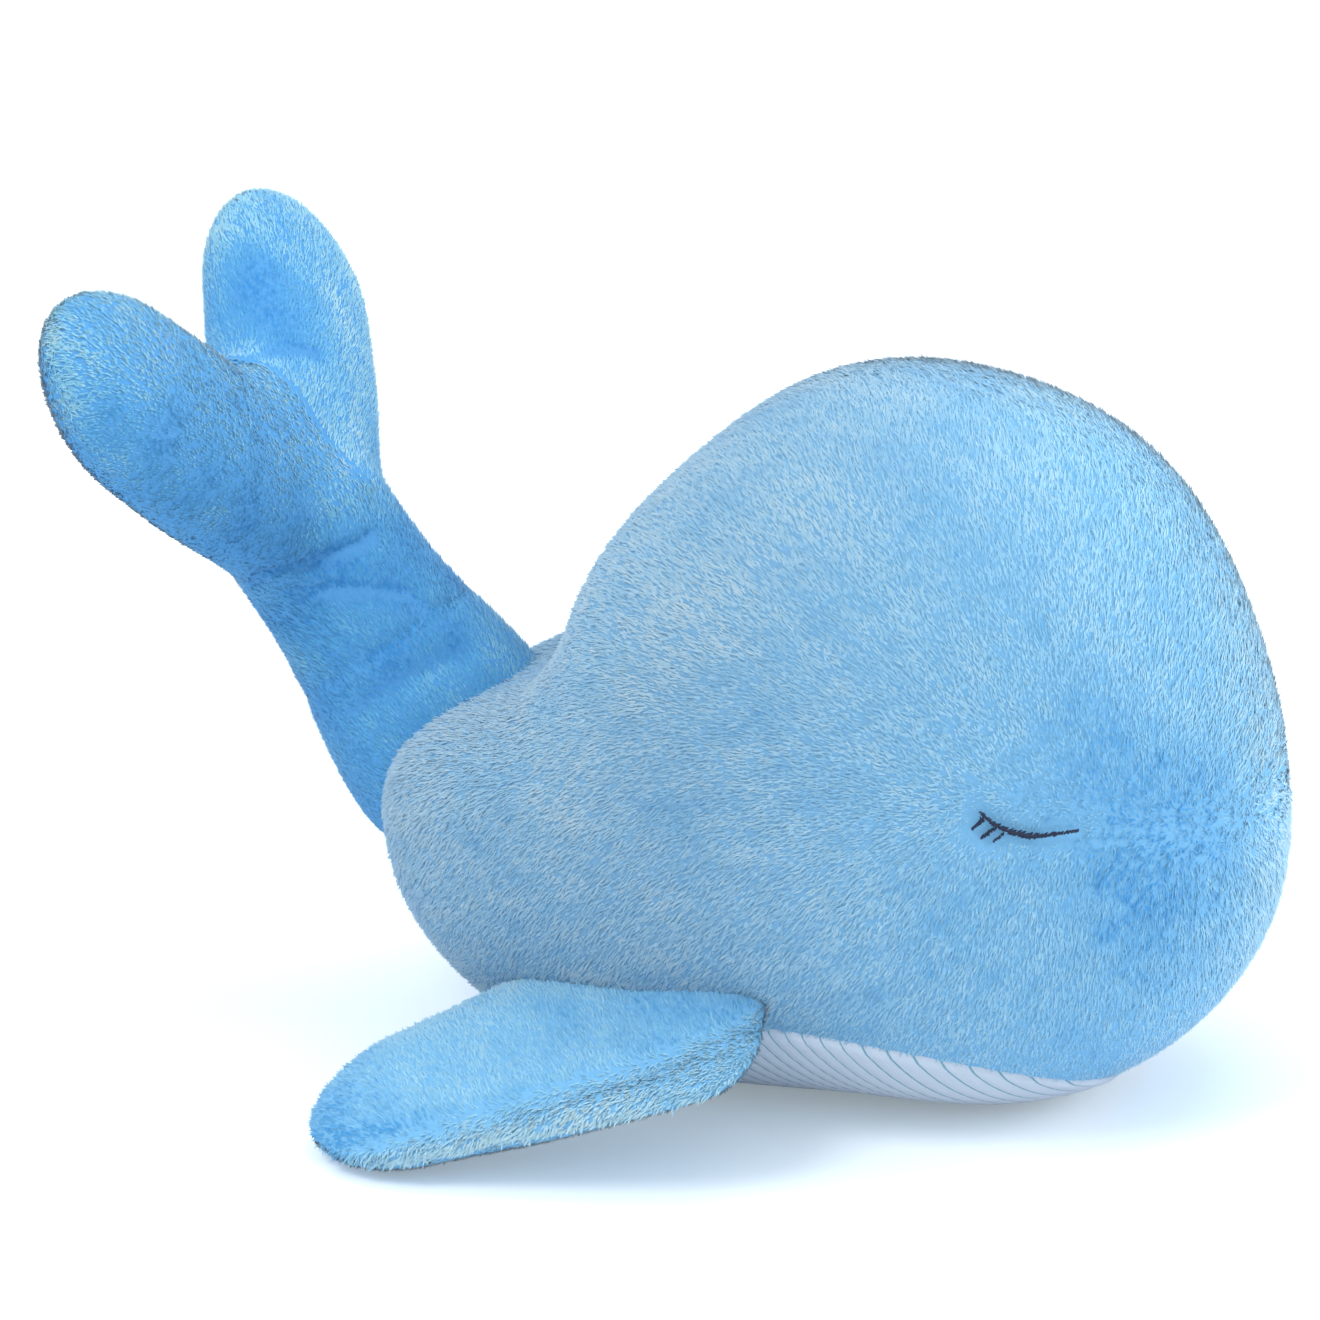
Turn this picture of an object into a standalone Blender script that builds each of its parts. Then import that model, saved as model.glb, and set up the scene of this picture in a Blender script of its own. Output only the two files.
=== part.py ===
"""A stuffed plush whale that rests on its belly.

The body is an egg worked out from a side outline and a width. The tail stalk, the fluke lobes
and the fins are profiles carried along a straight axis. Each form can be drawn in by an inset,
which gives the inside of its fabric and the outside of its filling. A limb is then cut clear
of what it is sewn to, at every angle it can swing to.

Metres, +X to the nose, +Y to the whale's left, +Z up. The origin is on the floor, in the
middle of the flat patch of belly that the whale rests on.
"""
import math

import bmesh
import bpy
import numpy as np
from mathutils import Matrix, Vector

# Fabric, thread and clearances
PLUSH_THICKNESS = 0.003
COTTON_THICKNESS = 0.001
SEWN_GAP = 0.0003
TURNING_GAP = 0.0009
THREAD_RADIUS = 0.0011
FLOOR_FLAT_DEPTH = 0.0005
OVERRUN = 0.02

# Body: the reach from its centre at every 11.25 degrees, from the nose up over the back
BODY_REACH = 0.118
BODY_HALF_WIDTH = 0.084
OUTLINE_SHARES = (0.99, 0.978, 0.975, 0.983, 0.985, 0.964, 0.93, 0.894,
                  0.85, 0.793, 0.735, 0.69, 0.64, 0.592, 0.603, 0.69,
                  0.91, 0.985, 0.975, 0.925, 0.86, 0.788, 0.727, 0.689,
                  0.674, 0.684, 0.727, 0.806, 0.895, 0.963, 1.0, 1.004)
BODY_CENTRE_HEIGHT = BODY_REACH * OUTLINE_SHARES[24] - FLOOR_FLAT_DEPTH
# How square its cross-sections are at every 22.5 degrees: 2 is an ellipse
BODY_SQUARENESS = (2.1, 2.01, 1.99, 2.02, 2.1, 2.6, 3.8, 4.1,
                   2.9, 2.71, 2.78, 2.8, 2.75, 2.62, 2.44, 2.25)

# Belly panel: what lies below an arch seen from the side
BELLY_HALF_LENGTH = 0.0855
BELLY_HEIGHT = 0.033
BELLY_SET_FORWARD = 0.0015

# Eye: a thread arc seen from the side, with lashes at its rear end
EYE_FORWARD = 0.0713
EYE_HEIGHT = 0.0904
EYE_CHORD = 0.0225
EYE_SAG = 0.0033
EYE_TILT = math.radians(-14)
EYE_SINK = 0.0006
LASH_LENGTH = 0.0034
LASH_TILT = math.radians(225)
LASH_PLACE_SHARES = (0.04, 0.17, 0.30)
LASH_LENGTH_SHARES = (0.85, 1.0, 0.75)
LASH_RADIUS_SHARE = 0.75

# Tail stalk, between the round end sunk in the body and the round end under the flukes
TAIL_PIVOT_SETBACK = 0.103
TAIL_PIVOT_HEIGHT = 0.070
TAIL_LENGTH = 0.0672
TAIL_RISE = math.radians(52.8)
TAIL_ROOT_RADIUS = 0.032
TAIL_TOP_RADIUS = 0.0245
TAIL_TAPER_SHARE = 0.75
TAIL_HALF_WIDTH = 0.029
TAIL_WIDTH_SHARES = (1.0, 1.0, 0.95, 0.90, 0.88, 0.88)

# Fluke lobes, in a plane that leans back from the top of the stalk
FLUKE_RISE = math.radians(60)
FLUKE_SPREAD = math.radians(44)
LOBE_LENGTH = 0.1055
LOBE_SINK = 0.012
LOBE_HALF_THICKNESS = 0.019
LOBE_HALF_WIDTH = 0.0296
LOBE_ROOT_ROUND = 0.018
LOBE_TIP_ROUND = 0.034
LOBE_THICKNESS_SHARES = (1.0, 1.0, 1.0, 0.92, 0.80)
LOBE_WIDTH_SHARES = (0.82, 0.95, 1.0, 1.0, 0.95)

# Fins, sewn into the seam between side and belly
FIN_ROOT_SETBACK = 0.0155
FIN_ROOT_RISE = 0.0015
FIN_ROOT_HEIGHT = BELLY_HEIGHT + FIN_ROOT_RISE
FIN_TIP_SETBACK = 0.0975
FIN_TIP_SIDE_OFFSET = 0.1150
FIN_TIP_HEIGHT = 0.0051
FIN_SINK = 0.024
FIN_CHORD_SWEEP = math.radians(30.5)
FIN_HALF_THICKNESS = 0.011
FIN_HALF_WIDTH = 0.0405
FIN_ROOT_ROUND = 0.020
FIN_TIP_ROUND = 0.028
FIN_THICKNESS_SHARES = (0.55, 0.70, 1.0, 0.97, 0.80)
FIN_WIDTH_SHARES = (1.0, 1.0, 0.87, 0.70, 0.62)
FIN_HINGE_HALF_LENGTH = 0.030

# How far each limb swings, lowest and highest
TAIL_SWING = (math.radians(-12), math.radians(15))
FLUKE_SWING = (math.radians(-20), math.radians(25))
FIN_SWING = (math.radians(-10), math.radians(40))
# How much wider the room for a swinging stalk grows, as a share of how much deeper it grows
SWING_FLARE_SHARE = 0.42

# Mesh fineness: faces around and along
BODY_FINENESS = (30, 16)
TAIL_FINENESS = (20, 12)
LOBE_FINENESS = (16, 10)
FIN_FINENESS = (18, 10)
BELLY_ARCH_SIDES = 40
THREAD_POINTS = 10
LASH_POINTS = 3

# Colours
PLUSH_BLUE = (0.42, 0.68, 0.90, 1.0)
TAIL_BLUE = (0.36, 0.62, 0.88, 1.0)
COTTON_WHITE = (0.86, 0.88, 0.93, 1.0)
FIBRE_WHITE = (0.93, 0.93, 0.92, 1.0)
THREAD_NAVY = (0.03, 0.03, 0.06, 1.0)

HALF_TURN = math.pi
QUARTER_TURN = math.pi / 2
LEFT, RIGHT = 1, -1


def clear_scene():
    """Remove the objects of the starting scene."""
    for old in list(bpy.data.objects):
        bpy.data.objects.remove(old, do_unlink=True)


def collection(name, hidden=False):
    """A collection of the scene, made once."""
    made = bpy.data.collections.new(name)
    bpy.context.scene.collection.children.link(made)
    made.hide_render = hidden
    return made


def material(name, colour, roughness):
    """A plain finish with the piece's colour."""
    made = bpy.data.materials.new(name)
    made.use_nodes = True
    shader = made.node_tree.nodes["Principled BSDF"]
    shader.inputs["Base Color"].default_value = colour
    shader.inputs["Roughness"].default_value = roughness
    shader.inputs["Metallic"].default_value = 0.0
    return made


def closed_curve(values, angle):
    """A smooth closed curve through values spaced evenly round a turn, read at an angle.

    It is the cubic spline through the values: its weights solve one small ring of equations.
    """
    count = len(values)
    ring = (4 * np.eye(count) + np.roll(np.eye(count), 1, 0) + np.roll(np.eye(count), -1, 0)) / 6
    weights = np.linalg.solve(ring, np.array(values, float))
    place = (angle / (2 * HALF_TURN)) % 1.0 * count
    first = int(place)
    f = place - first
    a, b, c, d = (weights[(first + k) % count] for k in (-1, 0, 1, 2))
    blend = (1 - f) ** 3 * a + (3 * f**3 - 6 * f**2 + 4) * b
    return (blend + (1 + 3 * f + 3 * f**2 - 3 * f**3) * c + f**3 * d) / 6


def open_curve(values, share):
    """A smooth curve through evenly spaced values, read at a share of its length."""
    ends = [2 * values[0] - values[1], *values, 2 * values[-1] - values[-2]]
    place = min(max(share, 0.0), 1.0) * (len(values) - 1)
    first = min(int(place), len(values) - 2)
    f = place - first
    a, b, c, d = ends[first : first + 4]
    cubic = (2 * a - 5 * b + 4 * c - d) * f**2 + (3 * b - a - 3 * c + d) * f**3
    return 0.5 * (2 * b + (c - a) * f + cubic)


def power(value, exponent):
    """A power that keeps its value's sign."""
    return math.copysign(abs(value) ** exponent, value)


def body_reach(angle):
    return BODY_REACH * closed_curve(OUTLINE_SHARES, angle)


def body_squareness(angle):
    return closed_curve(BODY_SQUARENESS, angle)


def body_place(inset):
    """The body's surface: at an angle round its centre in side view, and an angle to the side.

    Its rim is the outline, and each cut across it from one side to the other is a rounded
    rectangle whose squareness changes round the outline.
    """

    def place(angle, side):
        reach = body_reach(angle) - inset
        exponent = 2 / body_squareness(angle)
        rim = power(math.cos(side), exponent)
        return Vector(
            (
                reach * rim * math.cos(angle),
                (inset - BODY_HALF_WIDTH) * power(math.sin(side), exponent),
                BODY_CENTRE_HEIGHT + reach * rim * math.sin(angle),
            )
        )

    return place


def flank(forward, height):
    """How far the body's side stands out at a place seen from the side."""
    up = height - BODY_CENTRE_HEIGHT
    angle = math.atan2(up, forward)
    share = min(math.hypot(forward, up) / body_reach(angle), 1.0)
    square = body_squareness(angle)
    return BODY_HALF_WIDTH * (1 - share**square) ** (1 / square)


class Limb:
    """A stuffed limb: a straight axis, its sizes along it, and a round at either end."""

    def __init__(self, root, axis, side, length, half_thickness, half_width, rounds):
        self.root = Vector(root)
        self.axis = Vector(axis).normalized()
        side = Vector(side)
        self.side = (side - self.axis * side.dot(self.axis)).normalized()
        self.up = self.axis.cross(self.side)
        self.length = length
        self.half_thickness = half_thickness
        self.half_width = half_width
        self.rounds = rounds

    def place(self, inset):
        """Its surface: an angle round the axis, and an angle from the root end to the tip."""

        def place(around, lift):
            along = inset + (1 + math.sin(lift)) / 2 * (self.length - 2 * inset)
            closing = 1.0
            for depth, end_round in zip((along, self.length - along), self.rounds):
                near = min((depth - inset) / (end_round - inset), 1.0)
                closing *= math.sqrt(max(near * (2 - near), 0.0))
            share = along / self.length
            width = (self.half_width(share) - inset) * closing
            thickness = (self.half_thickness(share) - inset) * closing
            return (
                self.root
                + self.axis * along
                + self.side * width * math.cos(around)
                + self.up * thickness * math.sin(around)
            )

        return place


TAIL_PIVOT = Vector((-TAIL_PIVOT_SETBACK, 0, TAIL_PIVOT_HEIGHT))
TAIL_AXIS = Vector((-math.cos(TAIL_RISE), 0, math.sin(TAIL_RISE)))
FLUKE_PIVOT = TAIL_PIVOT + TAIL_AXIS * TAIL_LENGTH
FLUKE_AXIS = Vector((-math.cos(FLUKE_RISE), 0, math.sin(FLUKE_RISE)))
SIDEWAYS = Vector((0, 1, 0))


def tail_limb():
    """The stalk: round at both ends about the two crosswise hinges."""
    length = TAIL_LENGTH + TAIL_ROOT_RADIUS + TAIL_TOP_RADIUS

    def half_thickness(share):
        past = (share * length - TAIL_ROOT_RADIUS) / (TAIL_LENGTH * TAIL_TAPER_SHARE)
        run = min(max(past, 0.0), 1.0)
        ease = run * run * (3 - 2 * run)
        return TAIL_ROOT_RADIUS + (TAIL_TOP_RADIUS - TAIL_ROOT_RADIUS) * ease

    return Limb(
        TAIL_PIVOT - TAIL_AXIS * TAIL_ROOT_RADIUS,
        TAIL_AXIS,
        SIDEWAYS,
        length,
        half_thickness,
        lambda share: TAIL_HALF_WIDTH * open_curve(TAIL_WIDTH_SHARES, share),
        (TAIL_ROOT_RADIUS, TAIL_TOP_RADIUS),
    )


def swing_space(pivot, axis, radius, half_width, swing):
    """The space that a round-ended stalk takes as it swings about its end's crosswise hinge.

    Behind the hinge it is the round end itself. From there two straight sides, tangent to the
    round, open out by the widest swing on both sides.
    """
    widest = max(abs(angle) for angle in swing)
    length = radius + TAIL_LENGTH + OVERRUN

    def half_thickness(share):
        past = share * length - radius
        if past < -radius * math.sin(widest):
            return radius
        opening = radius / math.cos(widest) + past * math.tan(widest)
        return opening / math.sqrt(1 - (min(past, 0.0) / radius) ** 2)

    def width(share):
        past = max(share * length - radius, 0.0)
        return half_width + past * math.tan(widest) * SWING_FLARE_SHARE

    start = pivot - axis * radius
    return Limb(start, axis, SIDEWAYS, length, half_thickness, width, (radius, OVERRUN))


def lobe_limb():
    """The right fluke lobe."""
    outward = SIDEWAYS * RIGHT
    axis = FLUKE_AXIS * math.cos(FLUKE_SPREAD) + outward * math.sin(FLUKE_SPREAD)
    across = axis.cross(FLUKE_AXIS.cross(outward))
    return Limb(
        FLUKE_PIVOT - axis * LOBE_SINK,
        axis,
        across,
        LOBE_LENGTH + LOBE_SINK,
        lambda share: LOBE_HALF_THICKNESS * open_curve(LOBE_THICKNESS_SHARES, share),
        lambda share: LOBE_HALF_WIDTH * open_curve(LOBE_WIDTH_SHARES, share),
        (LOBE_ROOT_ROUND, LOBE_TIP_ROUND),
    )


def fin_limb():
    """The right fin, whose tip end is as high as its own thickness above the floor."""
    root_out = flank(-FIN_ROOT_SETBACK, FIN_ROOT_HEIGHT)
    root = Vector((-FIN_ROOT_SETBACK, RIGHT * root_out, FIN_ROOT_HEIGHT))
    tip = Vector((-FIN_TIP_SETBACK, RIGHT * FIN_TIP_SIDE_OFFSET, FIN_TIP_HEIGHT))
    axis = (tip - root).normalized()
    chord = Vector((math.cos(FIN_CHORD_SWEEP), RIGHT * math.sin(FIN_CHORD_SWEEP), 0))
    return Limb(
        root - axis * FIN_SINK,
        axis,
        chord,
        (tip - root).length + FIN_SINK,
        lambda share: FIN_HALF_THICKNESS * open_curve(FIN_THICKNESS_SHARES, share),
        lambda share: FIN_HALF_WIDTH * open_curve(FIN_WIDTH_SHARES, share),
        (FIN_ROOT_ROUND, FIN_TIP_ROUND),
    )


def fin_hinge():
    """A point and a direction of the right fin's sewn line, along the flank at the root."""
    ends = [-FIN_ROOT_SETBACK - FIN_HINGE_HALF_LENGTH, -FIN_ROOT_SETBACK + FIN_HINGE_HALF_LENGTH]
    rear, front = (Vector((x, RIGHT * flank(x, FIN_ROOT_HEIGHT), FIN_ROOT_HEIGHT)) for x in ends)
    middle = RIGHT * flank(-FIN_ROOT_SETBACK, FIN_ROOT_HEIGHT)
    point = Vector((-FIN_ROOT_SETBACK, (rear.y + front.y + middle) / 3, FIN_ROOT_HEIGHT))
    return point, (rear - front).normalized()


class Workshop:
    """Where the pieces and their cutters go."""

    def __init__(self):
        self.parts = collection("plush_whale")
        self.cutters = collection("cutters", hidden=True)

    def add(self, name, mesh, pivot=None):
        """A piece of the whale, hung from the empty on its joint's axis."""
        made = bpy.data.objects.new(name, mesh)
        self.parts.objects.link(made)
        if pivot is not None:
            mesh.transform(Matrix.Translation(-pivot.location))
            made.parent = pivot
        return made

    def cutter(self, name, mesh, matrix=None):
        made = bpy.data.objects.new(name, mesh)
        self.cutters.objects.link(made)
        made.hide_render = True
        made.display_type = "WIRE"
        if matrix is not None:
            made.matrix_world = matrix
        return made

    def pivot(self, name, point):
        made = bpy.data.objects.new(name, None)
        self.parts.objects.link(made)
        made.location = point
        made.empty_display_size = OVERRUN
        return made


def form(name, place, fineness, mirror=False):
    """A closed soft form: a sphere whose every point is moved to its place on the surface."""
    shape = bmesh.new()
    around, along = fineness
    bmesh.ops.create_uvsphere(shape, u_segments=around, v_segments=along, radius=1.0)
    for vertex in shape.verts:
        turn = math.atan2(vertex.co.y, vertex.co.x)
        lift = math.asin(min(max(vertex.co.z, -1.0), 1.0))
        vertex.co = place(turn, lift)
        if mirror:
            vertex.co.y = -vertex.co.y
    bmesh.ops.triangulate(shape, faces=shape.faces)
    bmesh.ops.recalc_face_normals(shape, faces=shape.faces)
    mesh = bpy.data.meshes.new(name)
    shape.to_mesh(mesh)
    shape.free()
    mesh.shade_smooth()
    return mesh


def half_space(shop, name, point, normal, reach):
    """A box with one face through a point, filling the side that the normal points to."""
    shape = bmesh.new()
    bmesh.ops.create_cube(shape, size=2 * reach)
    mesh = bpy.data.meshes.new(name)
    shape.to_mesh(mesh)
    shape.free()
    normal = Vector(normal).normalized()
    turn = normal.to_track_quat("Z", "Y").to_matrix().to_4x4()
    return shop.cutter(name, mesh, Matrix.Translation(Vector(point) + normal * reach) @ turn)


def boolean(piece, cutter, operation):
    step = piece.modifiers.new(f"{operation.lower()} {cutter.name}", "BOOLEAN")
    step.operation = operation
    step.object = cutter
    step.solver = "EXACT"


def subtract(piece, *cutters):
    for cutter in cutters:
        boolean(piece, cutter, "DIFFERENCE")


def keep(piece, *cutters):
    for cutter in cutters:
        boolean(piece, cutter, "INTERSECT")


def swung(point, direction, angle):
    """The turn about a hinge, as a matrix."""
    move = Matrix.Translation(point)
    return move @ Matrix.Rotation(angle, 4, direction) @ move.inverted()


def swept_cutter(shop, name, mesh, point, direction, angles):
    """The space that a form takes as it swings about a hinge, as one joined cutter."""
    first = shop.cutter(name, mesh, swung(point, direction, angles[0]))
    for number, angle in enumerate(angles[1:]):
        other = shop.cutter(f"{name}_{number}", mesh, swung(point, direction, angle))
        boolean(first, other, "UNION")
    return first


def finish_plush(piece, colour=PLUSH_BLUE):
    piece.data.materials.append(material(f"{piece.name}_plush", colour, 0.95))


def belly_arch(name, grow):
    """A long elliptical bar across the whale: what is inside it belongs to the belly panel."""
    shape = bmesh.new()
    bmesh.ops.create_cone(
        shape,
        cap_ends=True,
        segments=BELLY_ARCH_SIDES,
        radius1=1.0,
        radius2=1.0,
        depth=2.0,
        matrix=Matrix.Rotation(QUARTER_TURN, 4, "X"),
    )
    for vertex in shape.verts:
        vertex.co.x = BELLY_SET_FORWARD + vertex.co.x * (BELLY_HALF_LENGTH + grow)
        vertex.co.y *= BODY_HALF_WIDTH + OVERRUN
        vertex.co.z *= BELLY_HEIGHT + grow
    mesh = bpy.data.meshes.new(name)
    shape.to_mesh(mesh)
    shape.free()
    return mesh


def eye_point(run, drop, side, sink):
    """A place on the flank, from a run and a drop in the eye's own tilted side view."""
    forward = EYE_FORWARD + run * math.cos(EYE_TILT) - drop * math.sin(EYE_TILT)
    height = EYE_HEIGHT + run * math.sin(EYE_TILT) + drop * math.cos(EYE_TILT)
    return Vector((forward, side * (flank(forward, height) - sink), height))


def eye_arc(share):
    """Run and drop of the arc at a share of its length: a parabola with its low middle."""
    run = (share - 0.5) * EYE_CHORD
    return run, -EYE_SAG * (1 - (2 * share - 1) ** 2)


def thread_mesh(name, points, radii):
    """A run of satin stitches as a tapered round bar through points."""
    curve = bpy.data.curves.new(name, "CURVE")
    curve.dimensions = "3D"
    curve.bevel_depth = 1.0
    curve.bevel_resolution = 1
    curve.use_fill_caps = True
    line = curve.splines.new("POLY")
    line.points.add(len(points) - 1)
    for target, point, radius in zip(line.points, points, radii):
        target.co = (*point, 1.0)
        target.radius = radius
    holder = bpy.data.objects.new(name, curve)
    bpy.context.scene.collection.objects.link(holder)
    graph = bpy.context.evaluated_depsgraph_get()
    mesh = bpy.data.meshes.new_from_object(holder.evaluated_get(graph))
    bpy.data.objects.remove(holder, do_unlink=True)
    shape = bmesh.new()
    shape.from_mesh(mesh)
    bmesh.ops.remove_doubles(shape, verts=shape.verts, dist=THREAD_RADIUS * 0.01)
    bmesh.ops.recalc_face_normals(shape, faces=shape.faces)
    shape.to_mesh(mesh)
    shape.free()
    mesh.name = name
    return mesh


def eye_meshes(name, side, grow):
    """The eye's arc and its lashes, each a bar of thread let into the flank."""
    meshes = []
    shares = [k / (THREAD_POINTS - 1) for k in range(THREAD_POINTS)]
    points = [eye_point(*eye_arc(share), side, EYE_SINK) for share in shares]
    radii = [grow + THREAD_RADIUS * (1 - 0.5 * abs(2 * share - 1) ** 3) for share in shares]
    meshes.append(thread_mesh(f"{name}_arc", points, radii))
    for number, (share, length_share) in enumerate(zip(LASH_PLACE_SHARES, LASH_LENGTH_SHARES)):
        run, drop = eye_arc(share)
        points, radii = [], []
        for k in range(LASH_POINTS):
            part = k / (LASH_POINTS - 1)
            away = LASH_LENGTH * length_share * part
            points.append(
                eye_point(
                    run + away * math.cos(LASH_TILT),
                    drop + away * math.sin(LASH_TILT),
                    side,
                    EYE_SINK,
                )
            )
            radii.append(grow + THREAD_RADIUS * LASH_RADIUS_SHARE * (1 - 0.4 * part))
        meshes.append(thread_mesh(f"{name}_lash_{number}", points, radii))
    return meshes


def make_eye(shop, name, side):
    """One embroidered eye, its arc and lashes joined."""
    arc, *lashes = eye_meshes(name, side, 0.0)
    piece = shop.add(name, arc)
    for number, lash in enumerate(lashes):
        boolean(piece, shop.cutter(f"{name}_lash_{number}", lash), "UNION")
    piece.data.materials.append(material(f"{name}_thread", THREAD_NAVY, 0.45))
    return piece


def make_body(shop):
    """The side panels, the belly panel, the filling and the eyes."""
    outer = form("body_outer", body_place(0.0), BODY_FINENESS)
    plush_inside = form("body_plush_inside", body_place(PLUSH_THICKNESS), BODY_FINENESS)
    cotton_inside = form("body_cotton_inside", body_place(COTTON_THICKNESS), BODY_FINENESS)
    core = form("body_core", body_place(PLUSH_THICKNESS + SEWN_GAP), BODY_FINENESS)
    low_core = form("body_low_core", body_place(COTTON_THICKNESS + SEWN_GAP), BODY_FINENESS)

    inside = shop.cutter("plush_inside", plush_inside)
    socket = tail_socket(shop, "tail_socket", TURNING_GAP)
    lined_socket = tail_socket(shop, "lined_tail_socket", TURNING_GAP + PLUSH_THICKNESS)
    subtract(inside, lined_socket)
    reach = BODY_REACH + BODY_HALF_WIDTH + OVERRUN
    arch = shop.cutter("belly_arch", belly_arch("belly_arch", 0.0))
    wide_arch = shop.cutter("wide_belly_arch", belly_arch("wide_belly_arch", SEWN_GAP))
    narrow_arch = shop.cutter("narrow_belly_arch", belly_arch("narrow_belly_arch", -SEWN_GAP))

    for name, side in (("right", RIGHT), ("left", LEFT)):
        panel = shop.add(f"{name}_side_panel", outer.copy())
        edge = SIDEWAYS * side
        keep(panel, half_space(shop, f"{name}_half", edge * SEWN_GAP / 2, edge, reach))
        subtract(panel, socket, inside, wide_arch)
        for mesh in eye_meshes(f"{name}_eye_groove", side, SEWN_GAP):
            subtract(panel, shop.cutter(mesh.name, mesh))
        finish_plush(panel)
        make_eye(shop, f"{name}_eye", side)

    belly = shop.add("belly_panel", outer.copy())
    keep(belly, arch)
    floor = half_space(shop, "above_floor", Vector((0, 0, 0)), Vector((0, 0, 1)), reach)
    keep(belly, floor)
    inner_floor = Vector((0, 0, COTTON_THICKNESS))
    above_cotton = half_space(shop, "above_cotton", inner_floor, Vector((0, 0, 1)), reach)
    cotton_core = shop.cutter("cotton_inside", cotton_inside)
    keep(cotton_core, above_cotton)
    subtract(belly, cotton_core)
    belly.data.materials.append(material("belly_cotton", COTTON_WHITE, 0.85))

    filling = shop.add("body_filling", core)
    low_filling = shop.cutter("low_filling", low_core)
    keep(low_filling, narrow_arch)
    boolean(filling, low_filling, "UNION")
    fill_floor = Vector((0, 0, COTTON_THICKNESS + SEWN_GAP))
    above_fill = half_space(shop, "above_fill_floor", fill_floor, Vector((0, 0, 1)), reach)
    keep(filling, above_fill)
    lining = TURNING_GAP + PLUSH_THICKNESS + SEWN_GAP
    subtract(filling, tail_socket(shop, "filling_tail_socket", lining))
    filling.data.materials.append(material("body_fibre", FIBRE_WHITE, 1.0))
    return outer


def tail_socket(shop, name, grow):
    """The hollow in the rump that the stalk's round end turns in."""
    radius = TAIL_ROOT_RADIUS + grow
    room = swing_space(TAIL_PIVOT, TAIL_AXIS, radius, TAIL_HALF_WIDTH + grow, TAIL_SWING)
    return shop.cutter(name, form(name, room.place(0.0), TAIL_FINENESS))


def make_tail(shop, pivot):
    """The stalk's two panels, right and left, and its filling."""
    limb = tail_limb()
    reach = limb.length + OVERRUN
    outer = form("tail_outer", limb.place(0.0), TAIL_FINENESS)
    inside = form("tail_inside", limb.place(PLUSH_THICKNESS), TAIL_FINENESS)
    hollow = shop.cutter("tail_inside", inside)
    for name, side in (("right", RIGHT), ("left", LEFT)):
        panel = shop.add(f"tail_{name}_panel", outer.copy(), pivot)
        edge = SIDEWAYS * side
        start = TAIL_PIVOT + edge * SEWN_GAP / 2
        keep(panel, half_space(shop, f"tail_{name}_half", start, edge, reach))
        subtract(panel, hollow)
        finish_plush(panel, TAIL_BLUE)
    core = form("tail_core", limb.place(PLUSH_THICKNESS + SEWN_GAP), TAIL_FINENESS)
    filling = shop.add("tail_filling", core, pivot)
    filling.data.materials.append(material("tail_fibre", FIBRE_WHITE, 1.0))


def make_limb(shop, limb, names, fineness, mirror, pivot, cutters):
    """Two panels and a filling: the panels meet in the plane of the limb's axis and chord."""
    upper_name, lower_name, filling_name = names
    flip = Vector((1, -1, 1)) if mirror else Vector((1, 1, 1))
    outer = form(f"{filling_name}_outer", limb.place(0.0), fineness, mirror)
    inside = form(f"{filling_name}_inside", limb.place(PLUSH_THICKNESS), fineness, mirror)
    hollow = shop.cutter(f"{filling_name}_inside", inside)
    reach = limb.length + OVERRUN
    for name, facing in ((upper_name, 1), (lower_name, -1)):
        panel = shop.add(name, outer.copy(), pivot)
        edge = limb.up * facing
        start = (limb.root + edge * SEWN_GAP / 2) * flip
        keep(panel, half_space(shop, f"{name}_half", start, edge * flip, reach))
        subtract(panel, hollow, *cutters)
        finish_plush(panel)
    core = form(filling_name, limb.place(PLUSH_THICKNESS + SEWN_GAP), fineness, mirror)
    filling = shop.add(filling_name, core, pivot)
    subtract(filling, *cutters)
    filling.data.materials.append(material(f"{filling_name}_fibre", FIBRE_WHITE, 1.0))


def make_flukes(shop, pivot):
    """The two lobes, cut clear of the stalk through their fold and of each other."""
    radius = TAIL_TOP_RADIUS + TURNING_GAP
    half_width = TAIL_HALF_WIDTH * TAIL_WIDTH_SHARES[-1] + TURNING_GAP
    room = swing_space(FLUKE_PIVOT, -TAIL_AXIS, radius, half_width, FLUKE_SWING)
    seat = shop.cutter("fluke_seat", form("fluke_seat", room.place(0.0), TAIL_FINENESS))
    limb = lobe_limb()
    reach = limb.length + OVERRUN
    for name, side in (("right", RIGHT), ("left", LEFT)):
        edge = SIDEWAYS * -side
        start = FLUKE_PIVOT - edge * SEWN_GAP / 2
        other_side = half_space(shop, f"{name}_lobe_side", start, edge, reach)
        names = [f"{name}_fluke_{part}" for part in ("front_panel", "back_panel", "filling")]
        make_limb(shop, limb, names, LOBE_FINENESS, side == LEFT, pivot, (seat, other_side))


def make_fins(shop, pivots):
    """The two fins, cut clear of the flank through their flap."""
    point, direction = fin_hinge()
    mesh = form("fin_seat", body_place(-SEWN_GAP), BODY_FINENESS)
    low, high = FIN_SWING
    angles = [0.0, -low, -high / 2, -high]
    for name, side in (("right", RIGHT), ("left", LEFT)):
        flip = Vector((1, 1, 1)) if side == RIGHT else Vector((1, -1, 1))
        turn = direction if side == RIGHT else -direction * flip
        seat = swept_cutter(shop, f"{name}_fin_seat", mesh, point * flip, turn, angles)
        names = [f"{name}_fin_{part}" for part in ("upper_panel", "lower_panel", "filling")]
        make_limb(shop, fin_limb(), names, FIN_FINENESS, side == LEFT, pivots[name], (seat,))


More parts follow.
